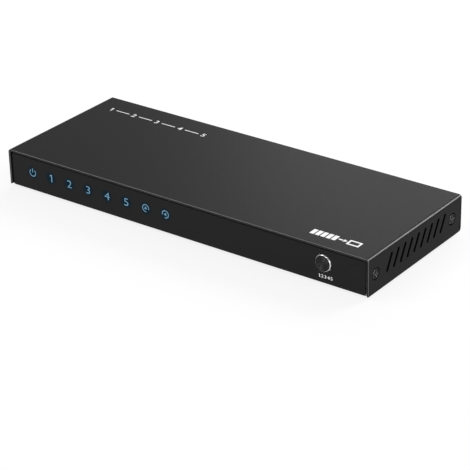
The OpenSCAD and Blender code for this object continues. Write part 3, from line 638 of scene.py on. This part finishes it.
# The push switch stands on the board behind the button: black housing, ivory plunger and steel snap dome.
# The plunger moves with the button and flattens the dome, which springs both back.
IVORY = ((0.52, 0.48, 0.38), (0.62, 0.58, 0.47))
SPRING_STEEL = ((0.60, 0.60, 0.58), (0.72, 0.72, 0.70))

fit(broken_edges("switch_housing", INLET_EDGE), block_black)
ivory = moulded("ivory nylon", IVORY, gloss=(0.4, 0.55), grain=0.3 * MM)
fit(broken_edges("switch_plunger", PLATED_EDGE), ivory, body="button")
low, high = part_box("switch_dome")
spring_steel = plated("spring steel", SPRING_STEEL, gloss=(0.2, 0.34), grain=0.5 * MM)
dome = fit(smoothed(lifted("switch_dome")), spring_steel)
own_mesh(dome)


# The front panel is a thin sheet of smoked plastic, stuck to the tray's front wall.
# It is black until the lamps behind it shine through the icons; round each one a blue glow and a blue
# metallic tint are painted on for the light that leaks.
PANEL_EDGE = 0.12 * MM
PANEL_DARK = (0.0055, 0.0055, 0.0057)
PANEL_LIGHT = (0.0090, 0.0090, 0.0093)
PANEL_GLOSS = (0.40, 0.50)
PANEL_SHINE = 0.10
PANEL_GRAIN = 0.1 * MM
PANEL_RELIEF = 0.003 * MM
PAINTED_GLOW_COLOUR = (0.0000, 0.0080, 0.0160)
PAINTED_HALO_TINT = (0.0003, 0.0040, 0.0080)
PAINTED_HALO_METAL = 0.9
PAINTED_GLOW_CORE = 1.5 * MM
PAINTED_GLOW_REACH = 3.8 * MM
ICON_Z = 10.2 * MM

icon_x = [sum(corner.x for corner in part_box("led_" + icon)) / 2 for icon in ICONS]
icon_pitch = icon_x[1] - icon_x[0]
panel_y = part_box("front_overlay")[0].y


def smoked_plastic_with_painted_glow(name):
    """Black plastic with a fine matt grain, and a painted blue glow and metallic tint that fade out round
    each icon of the row.
    """
    finish = moulded(name, (PANEL_DARK, PANEL_LIGHT), PANEL_GLOSS, PANEL_GRAIN, PANEL_RELIEF, PANEL_SHINE)
    place = apart(finish, placed(finish, (icon_x[0], 0, ICON_Z)))
    aside = calculated(finish, "PINGPONG", calculated(finish, "DIVIDE", place["X"], icon_pitch), HALF)
    last = calculated(finish, "SUBTRACT", place["X"], icon_x[-1] - icon_x[0])
    first = calculated(finish, "MULTIPLY", place["X"], -1.0)
    beyond = calculated(finish, "MAXIMUM", calculated(finish, "MAXIMUM", last, first), 0.0)
    along = calculated(finish, "MAXIMUM", calculated(finish, "MULTIPLY", aside, icon_pitch), beyond)
    away = add(finish, "CombineXYZ", {"X": along, "Z": place["Z"]})
    away = add(finish, "VectorMath", {0: away}, "Value", operation="LENGTH")
    # Painted glow: emission and a blue metallic tint that fade with the distance from the nearest icon.
    glow = spread(finish, away, 1, 0, PAINTED_GLOW_CORE, PAINTED_GLOW_REACH)
    feed(finish, shader_of(finish), {
        "Emission Color": mixed(finish, glow, (0, 0, 0), PAINTED_GLOW_COLOUR),
        "Emission Strength": 1.0,
    })
    return over(finish, glow, PAINTED_HALO_TINT, roughness=PANEL_GLOSS[1], metallic=PAINTED_HALO_METAL)


fit(broken_edges("front_overlay", PANEL_EDGE), smoked_plastic_with_painted_glow("smoked plastic"))


# The icons are windows printed in the panel, with a light blue glow painted on for the lamps behind: power,
# five inputs and two modes.
# The inputs have plain figures, power has its usual sign, and each mode has a triangle in a broken ring.
INK = 0.03 * MM
FIGURE_H = 3.7 * MM
FIGURE_WIDTH = 1.2
FIGURE_CURVE = 8
FONT_HEIGHT = 0.69
FONT_STEM = 0.097
FLAG = Vector((-0.13, -0.11, 0))
THIN = -0.004
BOLD = 0.012
ROUND_ICON = 1.95 * MM
STROKE = 0.42 * MM
ICON_BLUE = (0.17, 0.37, 0.52)
ICON_PALE = (0.27, 0.49, 0.64)
ICON_PAINTED_GLOW = 0.54
WINDOW_DARK = (0.02, 0.05, 0.08)
WINDOW_PALE = (0.04, 0.08, 0.12)
WINDOW_CLOUD = 1.5 * MM
RING_SIDES = 72
POWER_GAP = math.radians(38)
POWER_BAR_RISE = 0.6
MODE_GAP = math.radians(32)
MODE_HEAD = 0.5
MODE_TURNS = {"auto": (-math.pi / 4, math.pi / 2), "return": (-3 * math.pi / 4, math.pi)}


def broken_ring(radius, stroke, middle, gap):
    """A flat ring about the origin, open by a gap on each side of the angle in its middle."""
    bpy.ops.object.select_all(action="DESELECT")
    bpy.ops.mesh.primitive_circle_add(vertices=RING_SIDES, radius=radius, fill_type="NOTHING")
    ring = bpy.context.active_object
    bpy.ops.object.mode_set(mode="EDIT")
    bpy.ops.mesh.select_all(action="SELECT")
    bpy.ops.mesh.extrude_edges_move(TRANSFORM_OT_translate={"value": (0, 0, 0)})
    inner = (radius - stroke) / radius
    bpy.ops.transform.resize(value=(inner, inner, 1), center_override=(0, 0, 0))
    bpy.ops.object.mode_set(mode="OBJECT")
    opening = Vector((math.cos(middle), math.sin(middle)))
    picked(ring, "FACE", lambda face: face.center.xy.angle(opening) < gap)
    bpy.ops.mesh.delete(type="FACE")
    bpy.ops.object.mode_set(mode="OBJECT")
    return ring


def bar(width, height, centre):
    """A flat upright bar."""
    bpy.ops.object.select_all(action="DESELECT")
    bpy.ops.mesh.primitive_plane_add(size=1, location=(*centre, 0))
    stroke = bpy.context.active_object
    stroke.scale = (width, height, 1)
    bpy.ops.object.transform_apply(location=True, rotation=False, scale=True)
    return stroke


def flagged_stem(weight):
    """The number one in the size of the font: a stem, and a flag that slants down from its top."""
    stroke = FONT_STEM + 2 * weight
    stem = bar(stroke, FONT_HEIGHT - stroke, (0, 0))
    picked(stem, "VERT", lambda corner: corner.co.y > 0)
    bpy.ops.mesh.extrude_edges_move(TRANSFORM_OT_translate={"value": (0, stroke, 0)})
    bpy.ops.object.mode_set(mode="OBJECT")
    picked(stem, "VERT", lambda corner: corner.co.x < 0 and corner.co.y > 0)
    bpy.ops.mesh.extrude_edges_move(TRANSFORM_OT_translate={"value": FLAG})
    bpy.ops.object.mode_set(mode="OBJECT")
    return stem


def lettered(number, weight):
    """A number in the plain font."""
    bpy.ops.object.select_all(action="DESELECT")
    bpy.ops.object.text_add()
    text = bpy.context.active_object.data
    text.body = number
    text.offset = weight
    text.resolution_u = FIGURE_CURVE
    bpy.ops.object.convert(target="MESH")
    return bpy.context.active_object


def figure(number, height, weight, centre=(0, 0)):
    """A number of that height as a flat mesh in X and Y."""
    shape = flagged_stem(weight) if number == "1" else lettered(number, weight)
    take_up(shape)
    bpy.ops.object.origin_set(type="ORIGIN_GEOMETRY", center="BOUNDS")
    size = height / shape.dimensions.y
    shape.location = (*centre, 0)
    shape.scale = (size * FIGURE_WIDTH, size, 1)
    bpy.ops.object.transform_apply(location=True, rotation=False, scale=True)
    return shape


def arrow_head(size, centre, turn):
    """A flat triangle that points along an angle."""
    bpy.ops.object.select_all(action="DESELECT")
    bpy.ops.mesh.primitive_circle_add(vertices=3, radius=size, fill_type="NGON", location=(*centre, 0),
                                      rotation=(0, 0, turn - math.pi / 2))
    head = bpy.context.active_object
    bpy.ops.object.transform_apply(location=True, rotation=True, scale=False)
    return head


def printed(name, marks, centre, upright):
    """Joins flat marks, gives the ink its thickness and lays it on a face that looks forward or up."""
    mark = sole(name, marks)
    picked(mark, "FACE", lambda face: face.normal.z < 0)
    bpy.ops.mesh.flip_normals()
    bpy.ops.mesh.select_all(action="SELECT")
    bpy.ops.mesh.dissolve_degenerate(threshold=WELD)
    bpy.ops.mesh.dissolve_limited(angle_limit=FLAT)
    bpy.ops.object.mode_set(mode="OBJECT")
    settled(mark, "SOLIDIFY", thickness=INK, offset=0)
    mark.rotation_euler = (math.pi / 2 if upright else 0, 0, 0)
    mark.location = centre
    bpy.ops.object.transform_apply(location=True, rotation=True, scale=False)
    return mark


def painted_glow_window(name):
    """Painted blue glow, a little paler in random clouds."""
    finish = new_finish(name, roughness=0.4, specular=0.2)
    cloud = speckle(finish, WINDOW_CLOUD)
    # Painted glow: the windows give off blue light although they are no lamps.
    feed(finish, shader_of(finish), {
        "Base Color": mixed(finish, cloud, WINDOW_DARK, WINDOW_PALE),
        "Emission Color": mixed(finish, spread(finish, cloud, 0, 1), ICON_BLUE, ICON_PALE),
        "Emission Strength": ICON_PAINTED_GLOW,
    })
    return finish


def icon_marks(icon):
    """The flat shapes of one icon."""
    if icon.isdigit():
        return [figure(icon, FIGURE_H, THIN)]
    if icon == "power":
        ring = broken_ring(ROUND_ICON, STROKE, math.pi / 2, POWER_GAP)
        return [ring, bar(STROKE, ROUND_ICON, (0, ROUND_ICON * POWER_BAR_RISE))]
    opening, pointing = MODE_TURNS[icon]
    ring = broken_ring(ROUND_ICON, STROKE, opening, MODE_GAP)
    return [ring, arrow_head(ROUND_ICON * MODE_HEAD, (0, 0), pointing)]


painted_window_glow = painted_glow_window("lit icon")
for icon, x in zip(ICONS, icon_x):
    fit(printed("icon_" + icon, icon_marks(icon), (x, panel_y, ICON_Z), upright=True), painted_window_glow)


# White ink under the button tells which inputs it steps through.
# It is screen printed on the panel and slightly uneven where the mesh held more ink.
INK_WHITE = ((0.70, 0.70, 0.70), (0.84, 0.84, 0.84))
INPUTS = 5
STEP_MARK_H = 1.5 * MM
STEP_PITCH = 1.55 * MM
STEP_MARK_X = 78.1 * MM
STEP_MARK_Z = 4.4 * MM


def figure_row(height, pitch):
    """The numbers of the inputs in bold, side by side about the origin."""
    middle = (INPUTS - 1) / 2
    return [figure(str(i + 1), height, BOLD, ((i - middle) * pitch, 0)) for i in range(INPUTS)]


white_ink = moulded("white ink", INK_WHITE, gloss=(0.45, 0.6), grain=0.25 * MM, relief=0.002 * MM)
step_mark = figure_row(STEP_MARK_H, STEP_PITCH)
fit(printed("step_mark", step_mark, (STEP_MARK_X, panel_y, STEP_MARK_Z), upright=True), white_ink)


# The button is turned from aluminium and anodised dark, its face spun with fine rings, its rim cut bright.
# A lip keeps it behind the front wall, and its stem rests on the switch's plunger.
BUTTON_R = 4.0 * MM
RIM = 0.35 * MM
RIM_LAND = 0.12 * MM
LIP_R = 5.2 * MM
LIP_T = 1.0 * MM
STEM_R = 2.0 * MM
STEM_LEN = 3.2 * MM
DISH = 0.10 * MM
RING_PITCH = 0.14 * MM
RING_DEPTH = 0.006 * MM
BUTTON_SIDES = 128
ANODISED = ((0.028, 0.028, 0.029), (0.056, 0.056, 0.057))
SPUN_GLOSS = (0.50, 0.60)
TOOL_MARK = 0.12 * MM
QUARTER_TURN = 0.25
BRIGHT_CUT = (0.80, 0.80, 0.81)
CUT_SHARE = 0.9


def turned(name, centre, profile):
    """A piece turned about an axis along Y: a disc drawn out along it, wider or narrower at each step."""
    bpy.ops.object.select_all(action="DESELECT")
    radius, along = profile[0]
    bpy.ops.mesh.primitive_circle_add(vertices=BUTTON_SIDES, radius=radius, fill_type="NGON",
                                      location=(centre.x, along, centre.z), rotation=(math.pi / 2, 0, 0))
    piece = bpy.context.active_object
    piece.name = name
    bpy.ops.object.transform_apply(location=True, rotation=True, scale=False)
    bpy.ops.object.mode_set(mode="EDIT")
    bpy.ops.mesh.select_all(action="SELECT")
    for next_radius, next_along in profile[1:]:
        bpy.ops.mesh.extrude_region_move(TRANSFORM_OT_translate={"value": (0, next_along - along, 0)})
        share = next_radius / radius
        bpy.ops.transform.resize(value=(share, 1, share), center_override=(centre.x, next_along, centre.z))
        radius, along = next_radius, next_along
    bpy.ops.mesh.select_all(action="SELECT")
    bpy.ops.mesh.normals_make_consistent(inside=False)
    bpy.ops.object.mode_set(mode="OBJECT")
    return smoothed(piece)


def spun_face(face_y, radius):
    """Profile of the dished face from its rim to the middle, with fine rings left by the tool."""
    count = int(radius / RING_PITCH)
    points = []
    for i in range(count):
        r = radius * (1 - i / count)
        points.append((r, face_y + DISH * (1 - (r / radius) ** 2) + (i % 2) * RING_DEPTH))
    return points


def spun_metal(name, centre):
    """Dark anodised metal with ring-shaped tool marks, cut bright at the rim."""
    finish = new_finish(name, metallic=1.0)
    place = apart(finish, placed(finish, centre))
    reach = add(finish, "CombineXYZ", {"X": place["X"], "Z": place["Z"]})
    reach = add(finish, "VectorMath", {0: reach}, "Value", operation="LENGTH")
    rings = add(finish, "TexNoise", {"W": reach, "Scale": 1 / TOOL_MARK, "Detail": 3}, noise_dimensions="1D")
    around = add(finish, "Tangent", {}, direction_type="RADIAL", axis="Y")
    feed(finish, shader_of(finish), {
        "Base Color": mixed(finish, spread(finish, rings, 0, 1), *ANODISED),
        "Roughness": spread(finish, rings, *SPUN_GLOSS),
        "Anisotropic": 1.0,
        "Anisotropic Rotation": QUARTER_TURN,
        "Tangent": around,
    })
    cut = calculated(finish, "GREATER_THAN", reach, BUTTON_R - CUT_SHARE * RIM)
    return over(finish, cut, BRIGHT_CUT, roughness=0.18, metallic=1.0)


low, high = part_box("select_button")
axis = Vector(((low.x + high.x) / 2, low.y, (low.z + high.z) / 2))
lip_back = high.y - STEM_LEN
button = turned("select_button_cap", axis, [
    (STEM_R - RIM / 2, high.y),
    (STEM_R, high.y - RIM / 2),
    (STEM_R, lip_back),
    (LIP_R, lip_back),
    (LIP_R, lip_back - LIP_T),
    (BUTTON_R, lip_back - LIP_T),
    (BUTTON_R, low.y + RIM),
    (BUTTON_R - RIM, low.y),
    *spun_face(low.y, BUTTON_R - RIM - RIM_LAND),
])
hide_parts("select_button")
fit(button, spun_metal("spun metal", axis), body="button")


# The cover is the upper half: one sheet folded down on both sides, slotted and countersunk on the flanges.
# It is the same coated steel; its front edge is painted lighter and half metallic as a highlight line, and
# the walls of its slots and countersinks are painted near black as shade.
COVER_EDGE = 0.38 * MM
RIM_REACH = 1.5 * MM
SLOT_EDGE = 0.5
HOLE_EDGE = 0.25
SLOTS_REACH = 26 * MM
PUNCHED_FIELD = (35 * MM, 4.6 * MM)
PUNCHED_Z = 11.35 * MM
FLANGE_FLAT = 0.98
SLOT_PAINTED_SHADE = (0.002, 0.002, 0.002)
FRONT_EDGE_PAINTED_HIGHLIGHT = (0.16, 0.16, 0.165)

cover_low, cover_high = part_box("top_cover")


def cover_rim(middle):
    """The whole rounding on the outer rim of the cover, and a part of it round slots and screw holes."""
    if abs(middle.y) > cover_high.y - RIM_REACH or middle.z < cover_low.z + RIM_REACH:
        return 1
    return SLOT_EDGE if abs(middle.y) < SLOTS_REACH else HOLE_EDGE


cover_coat = powder_coat("satin black cover coat")
place = apart(cover_coat, placed(cover_coat, (0, 0, PUNCHED_Z)))
# Painted highlight: the rounded front edge is lighter and half metallic, so it shows as a bright line.
front = calculated(cover_coat, "LESS_THAN", place["Y"], cover_low.y + COVER_EDGE)
front_edge_highlight = calculated(cover_coat, "MULTIPLY", rounding(cover_coat), front)
over(cover_coat, front_edge_highlight, FRONT_EDGE_PAINTED_HIGHLIGHT, roughness=0.35, metallic=0.5)
# The rear edge keeps the plain dark coat, without the painted sheen of the folds.
rear = calculated(cover_coat, "GREATER_THAN", place["Y"], cover_high.y - COVER_EDGE)
over(cover_coat, rear, COAT_DARK, roughness=COAT_GLOSS[1], metallic=0.0)
# Painted shade: the walls of the slots and countersinks are near black and dull, as if in shadow.
normal = apart(cover_coat, add(cover_coat, "TexCoord", {}, "Normal"))
painted_slot_shade = calculated(cover_coat, "LESS_THAN", calculated(cover_coat, "ABSOLUTE", normal["X"]), FLANGE_FLAT)
for way, reach in zip("YZ", PUNCHED_FIELD):
    near = calculated(cover_coat, "LESS_THAN", calculated(cover_coat, "ABSOLUTE", place[way]), reach)
    painted_slot_shade = calculated(cover_coat, "MULTIPLY", painted_slot_shade, near)
over(cover_coat, painted_slot_shade, SLOT_PAINTED_SHADE, roughness=0.9, metallic=0.0)
fit(broken_edges("top_cover", COVER_EDGE, steps=3, share=cover_rim), cover_coat)


# Two marks are screen printed on the cover in white: five inputs that lead to one screen, and their scale.
# The ink lies on the coat as a thin, slightly uneven film.
SIGN_PLACE = (77.7 * MM, -28.5 * MM)
SIGN_BAR = 2.1 * MM
SIGN_PITCH = 2.7 * MM
SIGN_LINE = 0.9 * MM
SIGN_W = 24.6 * MM
ARROW_X = 2.45 * MM
ARROW_LINE = 2.1 * MM
ARROW_R = 1.3 * MM
ARROW_HEAD_X = 4.5 * MM
SCREEN_W = 6.2 * MM
SCREEN_H = 4.2 * MM
SCALE_PLACE = (-61.5 * MM, 25.6 * MM)
SCALE_PITCH = 14.0 * MM
SCALE_FIGURE = 3.0 * MM
SCALE_DASH = 8.0 * MM
SCALE_LINE = 0.5 * MM


def outlined_box(width, height, line, centre):
    """A flat rectangle with only its outline inked."""
    box = bar(width, height, centre)
    picked(box, "FACE", lambda face: True)
    bpy.ops.mesh.inset(thickness=line)
    bpy.ops.mesh.delete(type="FACE")
    bpy.ops.object.mode_set(mode="OBJECT")
    return box


def switch_sign():
    """Five bars in a row, an arrow and a screen."""
    first_bar = (SIGN_BAR - SIGN_W) / 2
    bars = [bar(SIGN_BAR, SCREEN_H, (first_bar + i * SIGN_PITCH, 0)) for i in range(INPUTS)]
    arrow = [bar(ARROW_LINE, SIGN_LINE, (ARROW_X, 0)), arrow_head(ARROW_R, (ARROW_HEAD_X, 0), 0)]
    return bars + arrow + [outlined_box(SCREEN_W, SCREEN_H, SIGN_LINE, ((SIGN_W - SCREEN_W) / 2, 0))]


def input_scale():
    """The five numbers in a row with a dash between each two."""
    figures = figure_row(SCALE_FIGURE, SCALE_PITCH)
    middle = (INPUTS - 2) / 2
    return figures + [bar(SCALE_DASH, SCALE_LINE, ((i - middle) * SCALE_PITCH, 0)) for i in range(INPUTS - 1)]


fit(printed("switch_sign", switch_sign(), (*SIGN_PLACE, cover_high.z), upright=False), white_ink)
fit(printed("input_scale", input_scale(), (*SCALE_PLACE, cover_high.z), upright=False), white_ink)


# Four black countersunk screws with a cross recess hold the cover's flanges to the tray's ears.
# They are cold headed steel, blackened and oiled; the rounded rim of each head is painted bright metal as a
# highlight, and the recess as a glint.
# Their heads stand a hair out of the flanges.
SCREW_EDGE = 0.45 * MM
RECESS_EDGE = 0.12
HEAD_RIM = 0.9
HEAD_RISE = 0.45 * MM
HEAD_PAINTED_HIGHLIGHT = (0.60, 0.60, 0.60)
BLACKENED = ((0.005, 0.005, 0.005), (0.011, 0.011, 0.011))
BLACK_SHINE = 0.035
RECESS_PAINTED_GLINT = (0.60, 0.60, 0.60)

screw_low, screw_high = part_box("cover_screws")
head_r = (screw_high.z - screw_low.z) / 2
screw_axes = [Vector((y, screw_low.z + head_r)) for y in (screw_low.y + head_r, screw_high.y - head_r)]


def head_rim(middle):
    """The whole rounding round the rim of a head, and a part of it in its recess and behind."""
    reach = min((middle.yz - centre).length for centre in screw_axes)
    return 1 if reach > HEAD_RIM * head_r else RECESS_EDGE


blackened = moulded("blackened steel", BLACKENED, gloss=(0.28, 0.42), grain=0.3 * MM, relief=0.002 * MM,
                    specular=BLACK_SHINE)
# Painted highlight: the rounded rim of each head is bright metal.
over(blackened, rounding(blackened), HEAD_PAINTED_HIGHLIGHT, roughness=0.3, metallic=1.0)
# Painted glint: the recess and all that lies deeper than the head's original face are bright metal.
out = calculated(blackened, "ABSOLUTE", apart(blackened, placed(blackened))["X"])
recess_glint = calculated(blackened, "LESS_THAN", out, screw_high.x)
over(blackened, recess_glint, RECESS_PAINTED_GLINT, roughness=0.3, metallic=0.8)
screws = broken_edges("cover_screws", SCREW_EDGE, steps=3, share=head_rim)
for side in (-1, 1):
    picked(screws, "VERT", lambda corner: corner.co.x * side > 0)
    bpy.ops.transform.translate(value=(side * HEAD_RISE, 0, 0))
    bpy.ops.object.mode_set(mode="OBJECT")
fit(smoothed(screws), blackened)


# Four round feet of black rubber are stuck under the tray's corners.
# They are moulded with a rounded lower edge and a matt, slightly dusty skin.
FOOT_EDGE = 0.2 * MM
RUBBER = ((0.008, 0.008, 0.008), (0.020, 0.020, 0.020))

rubber = moulded("foot rubber", RUBBER, gloss=(0.75, 0.95), grain=0.3 * MM, relief=0.02 * MM, specular=0.25)
for end in ("front", "rear"):
    for side in ("left", "right"):
        fit(broken_edges(f"foot_{end}_{side}", FOOT_EDGE), rubber)


# The box stands on white paper that keeps its shadow, with painted shade under its footprint, in soft light
# from behind and above and low in front.
# The camera looks down on its front right corner from the photograph's place.
CAMERA_PLACE = Vector((482.2, -637.47, 390.36)) * MM
CAMERA_TURN = math.radians(36.93)
CAMERA_DIP = math.radians(26.81)
CAMERA_ROLL = math.radians(-1.277)
LENS_MM = 148.97
SENSOR_MM = 36
SKY_LIGHT = 0.55
FLOOR_SIZE = 6
PAPER_WHITE = (0.9, 0.9, 0.9, 1)
PAPER_GLOW = 0.82
PAINTED_SHADE_EDGE = (3.1 * MM, 2.8 * MM)


def softbox(name, place, width, height, power):
    """A soft lamp with its face turned towards the box."""
    bpy.ops.object.light_add(type="AREA", location=place)
    lamp = bpy.context.active_object
    lamp.name = name
    lamp.rotation_euler = Vector(place).to_track_quat("Z", "Y").to_euler()
    lamp.data.shape = "RECTANGLE"
    lamp.data.size = width
    lamp.data.size_y = height
    lamp.data.energy = power


def white_paper(name):
    """Paper that looks white with little light on it and takes shadow beside the box; under the box its glow
    is masked off as painted shade.
    """
    finish = bpy.data.materials.new(name)
    finish.use_nodes = True
    finish.node_tree.nodes.remove(shader_of(finish))
    path = finish.node_tree.nodes.new("ShaderNodeLightPath")
    seen = calculated(finish, "MAXIMUM", path.outputs["Is Camera Ray"], path.outputs["Is Glossy Ray"])
    seen = calculated(finish, "MAXIMUM", seen, path.outputs["Is Transmission Ray"])
    paper = add(finish, "BsdfDiffuse", {"Color": PAPER_WHITE})
    glow = add(finish, "Emission", {"Color": (1, 1, 1, 1), "Strength": 1.0})
    place = apart(finish, placed(finish))
    # Painted shade: the paper's glow fades out just inside the box's footprint, so the floor under it goes
    # dark.
    beside = calculated(finish, "SUBTRACT", calculated(finish, "ABSOLUTE", place["X"]), cover_high.x)
    before = calculated(finish, "SUBTRACT", calculated(finish, "ABSOLUTE", place["Y"]), cover_high.y)
    inside = calculated(finish, "MULTIPLY", calculated(finish, "MAXIMUM", beside, before), -1.0)
    clear = spread(finish, inside, 0, PAPER_GLOW, *PAINTED_SHADE_EDGE)
    share = calculated(finish, "MULTIPLY", seen, clear)
    surface = add(finish, "MixShader", {0: share, 1: paper, 2: glow})
    feed(finish, finish.node_tree.nodes["Material Output"], {"Surface": surface})
    return finish


softbox("rear panel", place=(-0.23, 0.78, 0.42), width=0.6, height=0.5, power=3.3)
softbox("left rear panel", place=(-0.66, 0.58, 0.40), width=0.4, height=0.4, power=0.25)
softbox("rear lamp", place=(0.34, 0.58, 0.43), width=0.3, height=0.3, power=3.2)
softbox("front softbox", place=(-0.50, -0.45, 0.70), width=0.5, height=0.5, power=2)
softbox("low strip", place=(0.75, -0.55, 0.20), width=0.15, height=0.4, power=2)
softbox("low front lamp", place=(-0.12, -0.85, 0.12), width=0.25, height=0.2, power=2)

world = bpy.data.worlds.new("studio")
world.use_nodes = True
world.node_tree.nodes["Background"].inputs["Color"].default_value = (1, 1, 1, 1)
world.node_tree.nodes["Background"].inputs["Strength"].default_value = SKY_LIGHT
bpy.context.scene.world = world

bpy.ops.object.select_all(action="DESELECT")
bpy.ops.mesh.primitive_plane_add(size=FLOOR_SIZE)
floor = bpy.context.active_object
floor.name = "floor"
floor.data.materials.append(white_paper("white paper"))
floor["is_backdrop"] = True

bpy.ops.object.camera_add()
camera = bpy.context.active_object
camera.data.lens = LENS_MM
camera.data.sensor_width = SENSOR_MM
camera.matrix_world = (
    Matrix.Translation(CAMERA_PLACE)
    @ Matrix.Rotation(CAMERA_TURN, 4, "Z")
    @ Matrix.Rotation(math.pi / 2 - CAMERA_DIP, 4, "X")
    @ Matrix.Rotation(CAMERA_ROLL, 4, "Z")
)
bpy.context.scene.camera = camera
bpy.context.scene.view_settings.view_transform = "Standard"

low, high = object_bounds()
